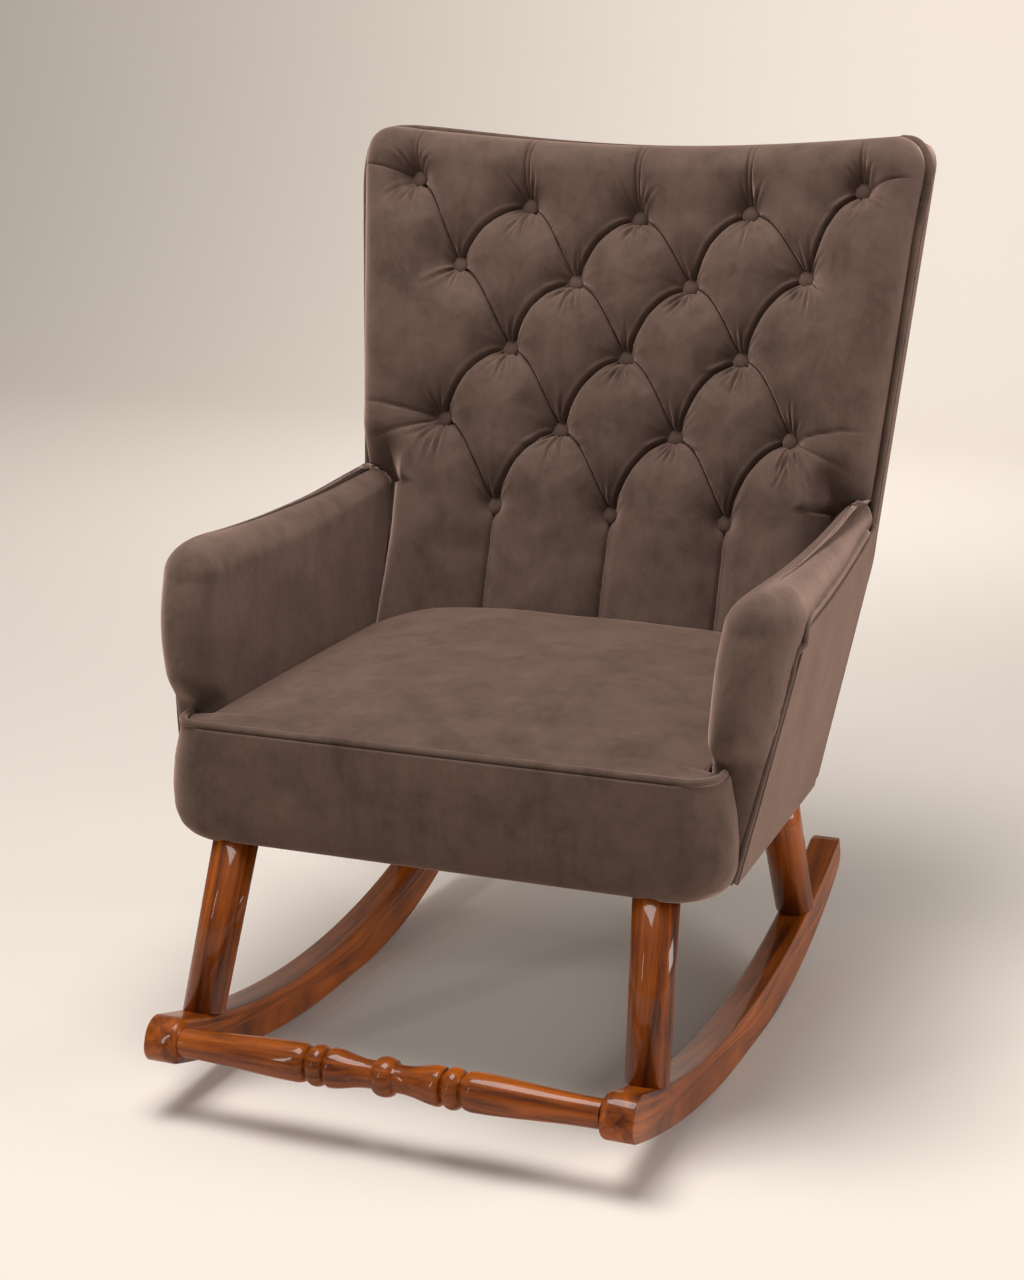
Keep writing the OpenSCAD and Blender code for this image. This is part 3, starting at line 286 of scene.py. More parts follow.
def velvet():
    """Short pile polyester velvet, brushed by hand.

    The pile gives a soft rim of light at grazing angles, and cloudy patches
    where it lies one way or the other."""
    material, tree, shader = new_material(
        "brushed_velvet", Roughness=0.88, Specular_IOR_Level=0.18, Sheen_Weight=0.85,
        Sheen_Roughness=0.42, Sheen_Tint=(*colours().velvet_sheen, 1))
    if tree is None:
        return material
    shade, middle = tuple(colours().velvet_shade), tuple(colours().velvet)
    place = node(tree, "TexCoord", output="Object")
    # Hand-brushed patches are about 60 mm across
    cloud = node(tree, "TexNoise", Vector=place, Scale=17.0, Detail=7.0, Roughness=0.66,
                 Distortion=0.4)
    # Strokes of the brush run down the cloth, 16 mm wide and 60 mm long
    along = node(tree, "Mapping", Vector=place, Scale=(62.0, 62.0, 16.0))
    streak = node(tree, "TexNoise", Vector=along, Scale=1.0, Detail=6.0, Roughness=0.6)
    # Tufts of pile are under 1 mm, drawn at about 1.2 mm so that they show
    pile = node(tree, "TexNoise", Vector=place, Scale=820.0, Detail=2.0)
    level = node(tree, "Math", streak, 0.22, 0.1, operation="MULTIPLY_ADD")
    level = node(tree, "Math", cloud, 0.62, level, operation="MULTIPLY_ADD")
    level = node(tree, "Math", pile, 0.13, level, operation="MULTIPLY_ADD")
    light = tuple(min(1, c * 1.3 + 0.006) for c in middle)
    colour = node(tree, "ValToRGB", level,
                  stops=[(0.42, shade), (0.58, middle), (0.76, light)])
    tree.links.new(colour, shader.inputs["Base Color"])
    nap = node(tree, "TexNoise", Vector=place, Scale=55.0, Detail=4.0, Roughness=0.7)
    bump = node(tree, "Bump", Strength=0.25, Distance=0.0006, Height=pile)
    bump = node(tree, "Bump", Strength=0.35, Distance=0.0016, Height=nap, Normal=bump)
    tree.links.new(bump, shader.inputs["Normal"])
    return material


def varnished_beech():
    """Steam-bent beech, stained brown and sprayed with clear gloss varnish.

    Streaky grain runs along each piece under a hard, wet-looking coat."""
    material, tree, shader = new_material(
        "varnished_beech", Roughness=0.5, Specular_IOR_Level=0.12, Coat_Weight=0.45,
        Coat_Roughness=0.07, Coat_IOR=1.5)
    if tree is None:
        return material
    light, dark = tuple(colours().wood_light), tuple(colours().wood_dark)
    along = node(tree, "Attribute", output="Vector", attribute_name="grain")
    # Growth bands are 14 mm apart, with finer ones between, and 300 mm long
    place = node(tree, "Mapping", Vector=along, Scale=(70.0, 70.0, 3.2))
    bands = node(tree, "TexNoise", Vector=place, Scale=1.0, Detail=4.0, Roughness=0.55,
                 Distortion=0.9)
    # Pores and flecks are about 0.5 mm wide, drawn at 1 mm, and 17 mm long
    place = node(tree, "Mapping", Vector=along, Scale=(900.0, 900.0, 60.0))
    fleck = node(tree, "TexNoise", Vector=place, Scale=1.0, Detail=3.0)
    stain = node(tree, "TexNoise", Vector=along, Scale=9.0, Detail=2.0)
    level = node(tree, "Math", fleck, 0.16, 0.0, operation="MULTIPLY_ADD")
    level = node(tree, "Math", stain, 0.3, level, operation="MULTIPLY_ADD")
    level = node(tree, "Math", bands, 0.62, level, operation="MULTIPLY_ADD")
    middle = tuple(mix(a, b, 0.5) for a, b in zip(dark, light))
    colour = node(tree, "ValToRGB", level,
                  stops=[(0.38, dark), (0.54, middle), (0.7, light)])
    tree.links.new(colour, shader.inputs["Base Color"])
    bump = node(tree, "Bump", Strength=0.12, Distance=0.0004, Height=fleck)
    tree.links.new(bump, shader.inputs["Normal"])
    return material


def plain_finish(name, low, high, scale, rough, metallic=0.0, stretch=(1, 1, 1)):
    """A finish of two close colours, mixed in a pattern of the given size."""
    material, tree, shader = new_material(name, Roughness=rough, Metallic=metallic)
    if tree is None:
        return material
    place = node(tree, "TexCoord", output="Object")
    place = node(tree, "Mapping", Vector=place, Scale=stretch)
    noise = node(tree, "TexNoise", Vector=place, Scale=scale, Detail=4.0)
    colour = node(tree, "ValToRGB", noise, stops=[(0.35, srgb(low)), (0.65, srgb(high))])
    tree.links.new(colour, shader.inputs["Base Color"])
    bump = node(tree, "Bump", Strength=0.3, Distance=0.0005, Height=noise)
    tree.links.new(bump, shader.inputs["Normal"])
    return material


def sawn_pine():
    """Sawn pine frame wood: pale, dry and faintly striped along the boards."""
    return plain_finish("sawn_pine", "#b78d58", "#d6b27c", 40.0, 0.75, stretch=(0.2, 1, 1))


def zinc_plate():
    """Zinc plated steel screws, bolts and plates: a cool, slightly cloudy shine."""
    return plain_finish("zinc_plated_steel", "#8c8e90", "#b4b6b8", 160.0, 0.35, 1.0)


def black_webbing():
    """Woven elastic webbing and the dust cover's spun cloth: matt black with a fine tooth."""
    return plain_finish("black_woven_cloth", "#1c1a19", "#2f2c2a", 700.0, 0.95)


# The chair's measured lines, in mm. Y is 0 where the rockers meet the floor.

SEAT_BOTTOM, SEAT_EDGE, SEAT_CROWN = 281.0, 402.0, 446.0
SEAT_FRONT, SEAT_DEPTH, SEAT_HALF_W, SEAT_CORNER, SEAT_LIP = 252.0, 536.0, 318.0, 42.0, 7.0
LEAN = math.radians(15.85)
COS_L, SIN_L, TAN_L = math.cos(LEAN), math.sin(LEAN), math.tan(LEAN)
BACK_FOOT_Y = SEAT_DEPTH - SEAT_FRONT - TAN_L * SEAT_CROWN
WELT = 9.0
ARM_IN, ARM_SEAM, ARM_CREST, ARM_HALF_W = 286.3, 552.0, 37.0, 370.0
KNEE_Z, SEAM_TOP_Z = 520.0, 985.0
SEAM_LOW = (306, BACK_FOOT_Y + 11, BACK_FOOT_Y + 95)
SEAM_KNEE = (332, BACK_FOOT_Y + 145, BACK_FOOT_Y + 205)
SEAM_TOP = (369, BACK_FOOT_Y + 234, BACK_FOOT_Y + 345)
SIDE_BAND, CREST_CORNER = 25.0, 38.0
T_END = -SEAT_FRONT + 52


def seam(z, k):
    """Outer seam of the back at a height: its width, depth or the rear face's depth."""
    z = np.asarray(z, float)
    low = mix(SEAM_LOW[k], SEAM_KNEE[k], (z - SEAT_BOTTOM) / (KNEE_Z - SEAT_BOTTOM))
    high = mix(SEAM_KNEE[k], SEAM_TOP[k], (z - KNEE_Z) / (SEAM_TOP_Z - KNEE_Z))
    # The seam bends over about 60 mm and not at a point
    return mix(low, high, smooth((z - KNEE_Z + 30) / 60))


def crest_z(x):
    return 998 + 18 * np.minimum(1.15, np.abs(x) / (SEAM_TOP[0] - 65)) ** 1.8


def corner_drop(x, w):
    d = clamp01((np.abs(x) - w + CREST_CORNER) / CREST_CORNER)
    return CREST_CORNER * (1 - np.sqrt(1 - d * d))


def edge_round(d, r):
    e = clamp01(d / r)
    return np.sqrt(1 - (1 - e) ** 2)


def slope_n(y, z):
    return (y - BACK_FOOT_Y) * COS_L - z * SIN_L


def lean_places(x, n, t):
    """Places from width, distance behind the buttons' plane and distance up it."""
    return np.stack([x, BACK_FOOT_Y + n * COS_L + t * SIN_L, t * COS_L - n * SIN_L], axis=-1)


# The tufted back

WIDEST = (4, 3, 2, 3, 2)
LAST_ROW = 4
SWEEP = 0.00044
STEP_LOW = 578 * COS_L + (-20 / COS_L + 578 * TAN_L) * SIN_L
PAD_BOTTOM = 372.0
# The buttons' seats lie this far behind the plane that the CAD pad's do
PIT = 12.0


def row_t(j):
    return 947 - 82.4 * j - 2.6 * j * j


def row_bow(j):
    return 0.00041 * clamp01(1 - np.asarray(j, float) / LAST_ROW) ** 1.3


def row_pitch(j):
    return 76 - 3.5 * clamp01(1 - np.asarray(j, float))


def pad_w(t):
    z = (t + 20) * COS_L
    return mix(ARM_IN - 0.6, seam(z, 0) - WELT - 0.3, clamp01((t - STEP_LOW) / 20))


def roll_n(x):
    return 12 - SWEEP * x * x


def pad_top(x):
    return (crest_z(x) / COS_L + roll_n(x) * TAN_L
            - corner_drop(x, SEAM_TOP[0] - WELT - 0.3))


def arched(j):
    """Rows between buttons: pleats leave a button level and drop to the next one."""
    j = np.asarray(j, float)
    whole = np.floor(j)
    part = j - whole
    return np.where((j > 0) & (j < LAST_ROW), whole + 0.12 * part + 0.88 * part ** 2.1, j)


def lattice_place(i, j):
    """Width and slope distance of lattice coordinates; j is 0 to 4 between the rows."""
    i, j = np.broadcast_arrays(np.asarray(i, float), np.asarray(j, float))
    a = arched(j)
    row = np.clip(a, 0, None)
    pitch = row_pitch(row)
    t_row = row_t(np.minimum(row, LAST_ROW))

    def across(w):
        out = np.abs(i)
        inner = out * pitch
        wing = clamp01((out - 3) / 2)
        squeezed = 3 * pitch + (w - 3 * pitch) * np.sin(wing * math.pi / 2)
        last = clamp01(out - 4)
        straight = np.where(out <= 4, inner, 4 * pitch + (w - 4 * pitch)
                            * np.sin(last * math.pi / 2))
        wide = mix(straight, squeezed, smooth(a - 1))
        return np.sign(i) * np.where(out <= 3, inner, wide)

    x = across(pad_w(t_row))
    for _ in range(3):
        base = t_row + row_bow(np.minimum(row, LAST_ROW)) * x * x
        up = base + (pad_top(x) - base) * np.sin(clamp01(-a) * math.pi / 2)
        down = mix(row_t(LAST_ROW), PAD_BOTTOM, (a - LAST_ROW) / 2)
        t = np.where(a < 0, up, np.where(a > LAST_ROW, down, base))
        x = across(pad_w(np.minimum(t, 1015)))
    return x, t


def button_places():
    rows = []
    for j, wide in enumerate(WIDEST):
        for i in range(-wide, wide + 1, 2):
            x, t = lattice_place(i, j)
            rows.append((i, j, float(x), float(t)))
    return rows


def run(start, end, bend=0.0, count=60):
    """A line between two (x, t) points, raised in its middle like a bow."""
    s = np.linspace(0, 1, count)
    points = np.outer(1 - s, start) + np.outer(s, end)
    points[:, 1] += bend * (1 - (1 - s) ** 2)
    return points


def nearest(curves, x, t):
    """Distance and signed side of the nearest of some curves, for many points."""
    count = sum(len(c) - 1 for c in curves)
    tree = kdtree.KDTree(count)
    ways = np.zeros((count, 2))
    spots = np.zeros((count, 2))
    along = np.zeros(count)
    n = 0
    for curve in curves:
        step = np.diff(curve, axis=0)
        mid = (curve[1:] + curve[:-1]) / 2
        reach = np.linalg.norm(step, axis=1)
        for k in range(len(mid)):
            tree.insert((mid[k][0], mid[k][1], 0), n)
            ways[n] = step[k] / max(reach[k], 1e-6)
            spots[n] = mid[k]
            along[n] = (k + 0.5) / len(mid)
            n += 1
    tree.balance()
    index = np.array([tree.find((a, b, 0))[1] for a, b in zip(x.ravel(), t.ravel())])
    dx = x.ravel() - spots[index, 0]
    dt = t.ravel() - spots[index, 1]
    way = ways[index]
    flat = dx * way[:, 0] + dt * way[:, 1]
    off = dt * way[:, 0] - dx * way[:, 1]
    # Segments are about 2 mm long, so past half of one the end counts
    beyond = np.maximum(np.abs(flat) - 1.5, 0)
    far = np.sqrt(off * off + beyond * beyond)
    side = np.where(way[:, 0] < 0, -off, off)
    return far.reshape(x.shape), side.reshape(x.shape), along[index].reshape(x.shape)


def diagonal_pleats():
    curves = []
    taken = {(i, j) for i, j, _, _ in button_places()}
    for i, j in taken:
        for step in (-1, 1):
            if (i + step, j + 1) in taken:
                u = np.linspace(0, 1, 64)
                x, t = lattice_place(i + step * u, j + u * 0.99999)
                curves.append(np.stack([x, t], axis=1))
    return curves


def straight_pleats(widest, start, end, count):
    """Pleats up to the crest or down to the seat, from each button of a row."""
    return [np.stack(lattice_place(i, np.linspace(start, end, count)), axis=1)
            for i in range(-widest, widest + 1, 2)]


def wing_pleats():
    curves = []
    for i, j, x, t in button_places():
        sign = 1 if i > 0 else -1
        if (abs(i), j) == (4, 0):
            curves.append(run((x, t), (sign * 366, t), 13))
        if (abs(i), j) == (3, 3):
            curves.append(run((x, t), (sign * 352, t + 2), 13))
            curves.append(run((x, t), (sign * 318, t - 36), 0))
    return curves


def fan(x, t, cx, ct, angles, reach, start, depth, width, rng):
    """Small folds that run out from a button, as a change of height."""
    dx, dt = x - cx, t - ct
    r = np.sqrt(dx * dx + dt * dt)
    near = r < reach * 1.6
    out = np.zeros_like(x)
    r_near = r[near]
    angle = np.arctan2(dt[near], dx[near])
    change = np.zeros_like(r_near)
    for a in angles:
        bend = rng.uniform(-0.006, 0.006)
        far = reach * rng.uniform(0.65, 1.15)
        strong = depth * rng.uniform(0.7, 1.2)
        swing = (angle - a - bend * (r_near - start) + math.pi) % (2 * math.pi) - math.pi
        off = np.where(np.abs(swing) < 1.3, r_near * np.sin(swing), 99.0)
        hold = smooth((r_near - start) / 4) * clamp01(1 - (r_near / far) ** 2) ** 1.2
        wide = width * (0.7 + 0.6 * r_near / far)
        change += strong * hold * (0.55 * np.exp(-((off - 1.6 * wide) / (1.1 * wide)) ** 2)
                                   + 0.55 * np.exp(-((off + 1.6 * wide) / (1.1 * wide)) ** 2)
                                   - 1.0 * np.exp(-(off / (0.75 * wide)) ** 2))
    out[near] = change
    return out


# How far the cloth's swell, valleys and creases reach, in mm
SWELL_NEAR, SWELL_WIDE = 13, 36
VALLEY, LOW_VALLEY = 15.0, 30.0
CREASE, WING_CREASE, TOP_CREASE = 1.7, 1.5, 1.2
LIP_AT, LIP_WIDE = 3.6, 2.2
# The folds that fan out below and above a button: reach, start and width
FAN_BELOW, FAN_OUTER = (46, 6.0, 2.4), 70
FAN_ABOVE, FAN_CREST = (46, 7, 2.2), 52


def tufted_surface(x, t, depth, fold, gather):
    """Distance behind the buttons' plane of the tufted cloth, and a drop in t."""
    buttons = button_places()
    r = np.full(x.shape, 1e9)
    for _, _, bx, bt in buttons:
        r = np.minimum(r, np.hypot(x - bx, t - bt))
    low = straight_pleats(WIDEST[LAST_ROW], LAST_ROW, LAST_ROW + 2, 80)
    main, side, _ = nearest(diagonal_pleats() + low, x, t)
    top, _, top_s = nearest(straight_pleats(WIDEST[0], 0, -1, 60), x, t)
    wing, _, wing_s = nearest(wing_pleats(), x, t)
    low_row = smooth((row_t(LAST_ROW) - t) / 60)
    # Most of the height comes up round the buttons, the rest off the pleats
    rise = depth * (0.30 * (1 - np.exp(-(r / SWELL_NEAR) ** 1.6))
                    + 0.44 * (1 - np.exp(-(r / SWELL_WIDE) ** 1.6)))
    valley = np.exp(-(main / mix(VALLEY, LOW_VALLEY, low_row)) ** 1.05)
    rise += mix(0.26, 0.60, low_row) * depth * (1 - valley) - 0.3 * depth * low_row
    rise -= 0.12 * depth * np.exp(-(top / 8) ** 1.1) * smooth(r / 14)
    rise -= (0.09 * depth * np.exp(-(wing / 8) ** 1.1) * clamp01(1 - wing_s) ** 0.5
             * smooth(r / 14))
    # The upper cloth folds over the lower along each pleat
    clear = smooth((r - 7) / 10)
    lip = np.where(side > 0, np.exp(-((side - LIP_AT) / LIP_WIDE) ** 2), 0.0)
    rise += 0.34 * fold * lip * np.exp(-(np.minimum(main, 30) / 12) ** 2) * clear
    rise -= fold * np.exp(-(main / CREASE) ** 2) * clear
    rise -= 0.16 * fold * np.where(side <= 0, np.exp(-(main / 5) ** 2), 0) * clear
    rise -= (0.5 * fold * np.exp(-(wing / WING_CREASE) ** 2) * clear
             * clamp01(1 - wing_s) ** 0.4)
    # Each top pleat is two fine creases that part towards the crest
    gap = mix(1.7, 4.5, top_s)
    rise -= 0.7 * fold * np.exp(-((top - gap) / TOP_CREASE) ** 2) * clear
    drop = np.where(side > -1, 1.5 * np.exp(-((side - 1.3) / 1.9) ** 2), 0) * clear
    drop = drop * np.exp(-(main / 8) ** 2)
    rng = np.random.default_rng(7)
    down = -math.pi / 2
    for i, j, bx, bt in buttons:
        reach, start, wide = FAN_BELOW
        if j < LAST_ROW:
            outer = (abs(i), j) == (3, 3)
            spread = 0.5 if outer else 0.95
            angles = down + np.linspace(-spread, spread, 7) + rng.uniform(-0.08, 0.08, 7)
            if outer:
                angles = angles + 0.22 * np.sign(i)
            rise += fan(x, t, bx, bt, angles, FAN_OUTER if outer else reach, start,
                        gather * 1.2, wide, rng)
        reach, start, wide = FAN_ABOVE
        if j > 0:
            angles = -down + np.linspace(-0.5, 0.5, 4) + rng.uniform(-0.1, 0.1, 4)
            rise += fan(x, t, bx, bt, angles, reach, start, gather * 0.8, wide, rng)
        else:
            angles = -down + np.array([-0.5, -0.26, 0.22, 0.5]) + rng.uniform(-0.08, 0.08, 4)
            rise += fan(x, t, bx, bt, angles, FAN_CREST, start, gather * 0.7, wide, rng)
    # Stuffing is never quite even
    rise += 0.9 * np.sin(x / 41 + 1.3) * np.sin(t / 37 + 0.4) + 0.5 * np.sin(x / 17 + t / 23)
    plain = PIT - SWEEP * x * x - rise
    z = (t + 8) * COS_L
    edge = slope_n(seam(z, 1), z)
    s = clamp01((t - STEP_LOW) / 75)
    f = clamp01((np.abs(x) - ARM_IN + 24) / 24)
    hold = mix(1, s * s * (3 - 2 * s), f)
    held = np.where(t < STEP_LOW, plain, mix(edge - 14, plain, hold))
    sided = mix(edge, held, edge_round(pad_w(t) - np.abs(x), 50))
    n = mix(roll_n(x), sided, edge_round(pad_top(x) - t, 44))
    return n, drop


def graded(start, end, count, strength=0.4):
    """Grid lines between whole numbers, closer together near them."""
    s = np.linspace(start, end, count + 1)
    return s - strength / (2 * math.pi) * np.sin(2 * math.pi * s)


def close_behind(bm, x, n, t):
    """Closes the tufted sheet with a lining that bows as the back does."""
    rows, columns = x.shape
    lining = lean_places(x, np.maximum(n + 6, PIT + 12 - SWEEP * x * x), t).reshape(-1, 3)
    count = rows * columns
    made = bmesh.ops.extrude_edge_only(bm, edges=rim(bm))
    bm.verts.index_update()
    behind = {}
    for v in new_verts(made):
        front = next(e.other_vert(v).index for e in v.link_edges
                     if e.other_vert(v).index < count)
        v.co = place_m(*lining[front])
        behind[front] = v
    low = count - columns
    for c in range(1, columns - 2):
        bm.faces.new((behind[c], behind[c + 1], behind[low + c + 1], behind[low + c]))
    for edge, inner in ((0, 1), (columns - 1, columns - 2)):
        side = [behind[r * columns + edge] for r in range(rows)]
        face = bm.faces.new([behind[inner], *side, behind[low + inner]])
        bmesh.ops.triangulate(bm, faces=[face])


def make_tufted_back():
    depth, fold, gather = (sizes().tuft_depth / MM, sizes().fold_depth / MM,
                           sizes().gather_depth / MM)
    m = 50
    i = np.concatenate([graded(k, k + 1, m)[:-1] for k in range(-4, 4)])
    wing = np.linspace(0, 1, m + 1)
    i = np.concatenate([-4 - wing[:0:-1], i, 4 + wing])
    j = np.concatenate([-np.linspace(1, 0, m + 5)[:-1]]
                       + [graded(k, k + 1, m)[:-1] for k in range(4)]
                       + [np.linspace(4, 6, 2 * m - 10)])
    ii, jj = np.meshgrid(i, j)
    x, t = lattice_place(ii, jj)
    n, drop = tufted_surface(x, t, depth, fold, gather)
    bm = grid_sheet(lean_places(x, n, t - drop))
    close_behind(bm, x, n, t)
    outward(bm)
    cloth_piece(bm, "tufted_back", "tufted_back_pad")


# How far in front of its pit a button's middle stands, and how flat it is
BUTTON_OUT, BUTTON_FLAT = 10.5, 0.52


def make_buttons():
    width = sizes().button_width
    bm = bmesh.new()
    for _, _, x, t in button_places():
        made = bmesh.ops.create_uvsphere(bm, u_segments=20, v_segments=12, radius=width / 2)
        verts = made["verts"]
        bmesh.ops.scale(bm, verts=verts, vec=(1, BUTTON_FLAT, 1))
        turn = Matrix.Rotation(-LEAN, 3, "X") @ Matrix.Rotation(2 * SWEEP * x, 3, "Z")
        bmesh.ops.rotate(bm, verts=verts, matrix=turn, cent=(0, 0, 0))
        spot = lean_places(x, PIT - SWEEP * x * x - BUTTON_OUT, t)
        bmesh.ops.translate(bm, verts=verts, vec=place_m(*spot))
    smooth_shaded(bm)
    cloth_piece(bm, "covered_buttons", "tuft_buttons")


# The seat

# Padded cloth over foam, and cloth stretched over board
CUSHION_DEPTH = 55.0
BORDER_THICK, COVER_THICK = 0.009, 0.004
WELT_STEP = 5.0


def seat_w(y):
    wide = SEAT_HALF_W - 12
    c = clamp01((y + SEAT_FRONT - SEAT_LIP) / (SEAT_CORNER - 6))
    front = wide - (SEAT_CORNER - 6) * (1 - np.sqrt(1 - (1 - c) ** 2))
    return mix(front, ARM_IN - 0.6, smooth((y - T_END + 10) / 12))


def make_seat():
    n = 170
    back_y = BACK_FOOT_Y - 42 / COS_L + (SEAT_CROWN - 10) * TAN_L
    s = (1 - np.cos(np.linspace(0, math.pi, n))) / 2
    c = np.sin(np.linspace(-math.pi / 2, math.pi / 2, n))
    ss, cc = np.meshgrid(s, c, indexing="ij")
    y = mix(-SEAT_FRONT + SEAT_LIP, back_y, ss)
    x = cc * seat_w(y)
    along = 1 - (1 - clamp01(ss * 1.02)) ** 2.4
    across = 1 - 0.86 * np.abs(cc) ** 4
    rear = edge_round(1 - ss, 0.05)
    z = SEAT_EDGE + 2 + (SEAT_CROWN - SEAT_EDGE - 2) * along * across * mix(0.8, 1, rear)
    # A sat-on cushion is a little uneven and drawn in along its seams
    z = z + (1.3 * np.sin(x / 63 + 0.7) * np.sin(y / 57 + 1.9)
             + 0.5 * np.sin(x / 21 - y / 33)) * clamp01(along * 2) * clamp01((1 - np.abs(cc)) * 4)
    bm = grid_sheet(np.stack([x, y, z], axis=-1))
    for v in new_verts(bmesh.ops.extrude_edge_only(bm, edges=rim(bm))):
        v.co.z = (SEAT_EDGE - CUSHION_DEPTH) * MM
    bmesh.ops.triangulate(bm, faces=close_rim(bm))
    outward(bm)
    cloth_piece(bm, "seat_cushion", "seat_pad")


BORDER_LEVELS = np.array([[0, -20, -8], [0.02, -13, -6], [0.08, -6, -3], [0.2, -1, -0.5],
                          [0.42, 0, 0], [0.68, -3, -1], [0.87, -8, -3], [1, -11, -5]])


def round_front(w, f, r, count):
    """A U in plan round the seat's front, from its right end to its left end."""
    arc = np.linspace(0, math.pi / 2, count)
    right = np.stack([w - r + r * np.cos(arc), f + r - r * np.sin(arc)], axis=1)
    left = right[::-1] * (-1, 1)
    ends = np.linspace(T_END, f + r, 8)[:-1]
    side = np.stack([np.full(7, w), ends], axis=1)
    across = np.linspace(1, -1, 120)[1:-1, None] * (w - r, 0) + (0, f)
    return np.concatenate([side, right, across, left, side[::-1] * (-1, 1)])


def make_seat_border():
    rows = []
    v = np.concatenate([np.linspace(0, 0.1, 14)[:-1], np.linspace(0.1, 1, 44)])
    knots = BORDER_LEVELS[:, 0]
    for a in v:
        dw = np.interp(a, knots, BORDER_LEVELS[:, 1])
        df = np.interp(a, knots, BORDER_LEVELS[:, 2])
        plan = round_front(SEAT_HALF_W + dw, -SEAT_FRONT - df, SEAT_CORNER, 20)
        z = np.full(len(plan), mix(SEAT_BOTTOM, SEAT_EDGE - 0.5, a))
        rows.append(np.column_stack([plan, z]))
    places = np.array(rows)
    for _ in range(3):
        places[1:-1] = (places[:-2] + 2 * places[1:-1] + places[2:]) / 4
    bm = grid_sheet(places)
    thicken(bm, BORDER_THICK)
    cloth_piece(bm, "seat_front_panel", "seat_front_border")


def welt(points, name, node_name):
    """A covered cord sewn in along points in mm."""
    bm = tube(spaced(points, WELT_STEP), sizes().welt_width / MM)
    return cloth_piece(bm, name, node_name)


def make_seat_welt():
    r = SEAT_CORNER - 8
    w = SEAT_HALF_W - 12 + WELT / 2 + 0.3
    f = -SEAT_FRONT + SEAT_LIP - WELT / 2 - 0.3
    plan = round_front(w, f, r, 14)
    plan[0, 1] -= WELT / 2
    plan[-1, 1] -= WELT / 2
    points = np.column_stack([plan, np.full(len(plan), SEAT_EDGE + WELT / 2 - 0.7)])
    welt(points, "seat_welt", "seat_piping")


# The arms, drawn for the sitter's left and mirrored

def arm_v(z):
    return (z - SEAT_BOTTOM) / (ARM_SEAM - SEAT_BOTTOM)


def arm_edge(v):
    return (mix(320, ARM_HALF_W, v) + 2 * np.sin(math.pi * v),
            mix(-197, -122, v) - 9 * np.sin(math.pi * v))


def arm_u(y):
    return clamp01((y + 122) / 440)


def arm_seam_z(y):
    return ARM_SEAM + 24 * arm_u(y) - 8 * np.sin(math.pi * arm_u(y))


def arm_top_z(y):
    return arm_seam_z(y) + ARM_CREST - 12 * arm_u(y)


def panel_x(y, z):
    v = clamp01(arm_v(z))
    ex, ey = arm_edge(v)
    u = clamp01((y - ey) / (seam(z, 1) - ey))
    return mix(ex, seam(z, 0), u) + 4 * np.sin(math.pi * u) * np.sin(math.pi * v)


NOSE_V = (SEAT_EDGE + WELT + 2 - SEAT_BOTTOM) / (ARM_SEAM - SEAT_BOTTOM)


def arm_nose_y(v):
    out = mix(T_END, -229, np.sin(math.pi / 2 * clamp01((v - NOSE_V) / 0.15)))
    return np.where(v <= NOSE_V, T_END + 0.3, out + 26 * clamp01((v - 0.7) / 0.3) ** 2)


def arm_back_y(z):
    s = clamp01((z - 284) / (KNEE_Z - 284))
    post = mix(SEAM_LOW[1] + 6, seam(np.maximum(z, KNEE_Z), 1) + 2, s)
    return post - 0.3 - 16 * clamp01((z - 578 + 30) / 25)


def arm_row(v, inset, lift, hide):
    """One level of the arm's padding, from its inner back round the front and back."""
    n = 46
    ex, ey = arm_edge(v)
    zn = mix(SEAT_BOTTOM, ARM_SEAM, v)
    half = 1 - inset
    xi0 = ARM_IN + 9 * clamp01((v - 0.45) / 0.55)
    mid = (xi0 + ex) / 2
    xi, xe = mix(mid, xi0, half), mix(mid, ex, half)
    nose = float(arm_nose_y(v)) + 55 * inset
    ye = ey + 30 * inset
    ys = max(nose + 44, -178)
    xm = mix(xi, xe, 0.36)
    back = float(arm_back_y(zn))
    s = np.linspace(1, 0, n)
    end = smooth(inset)
    y_in = mix(ys, back, s)
    y_out = mix(ye, min(back, float(seam(zn, 1)) - WELT / 2 - 0.5), s)
    y_both = mix(max(ys, ye), back, s)
    y_in = mix(y_in, y_both, end)
    y_out = mix(y_out, y_both, end)
    inner = np.stack([np.full(n, xi), y_in], axis=1)
    a = np.linspace(0, math.pi / 2, 22)[1:]
    front = np.stack([xm - (xm - xi) * np.cos(a), ys + (nose - ys) * np.sin(a)], axis=1)
    side = np.stack([xm + (xe - xm) * np.sin(a), ye + (nose - ye) * np.cos(a)], axis=1)
    px = panel_x(y_out, np.minimum(zn, ARM_SEAM)) - hide * smooth((y_out - ye) / 8)
    outer = np.stack([mix((xi0 + px) / 2, px, half), y_out], axis=1)[::-1][1:]
    plan = np.concatenate([inner, front, side, outer])
    y = plan[:, 1]
    z = mix(SEAT_BOTTOM + 2, arm_seam_z(y), v) + lift * (arm_top_z(y) - arm_seam_z(y))
    return np.column_stack([plan, z])


# Creases in the arm's cloth where it is drawn to the welt: place of the welt
# end, place where the crease fades, and depth, in mm
ARM_CREASES = [
    ((352, -160, 455), (326, -204, 462), 2.2), ((350, -162, 448), (322, -208, 447), 1.7),
    ((356, -152, 476), (336, -196, 503), 2.0), ((359, -146, 490), (345, -180, 524), 1.6),
    ((362, -135, 512), (352, -158, 545), 1.4), ((366, -125, 530), (357, -135, 566), 1.2),
    ((369, -112, 545), (360, -108, 578), 1.2), ((370, -92, 551), (362, -82, 580), 1.0),
    ((318, -226, 497), (330, -214, 522), 0.9), ((310, -229, 470), (322, -224, 440), 0.9)]


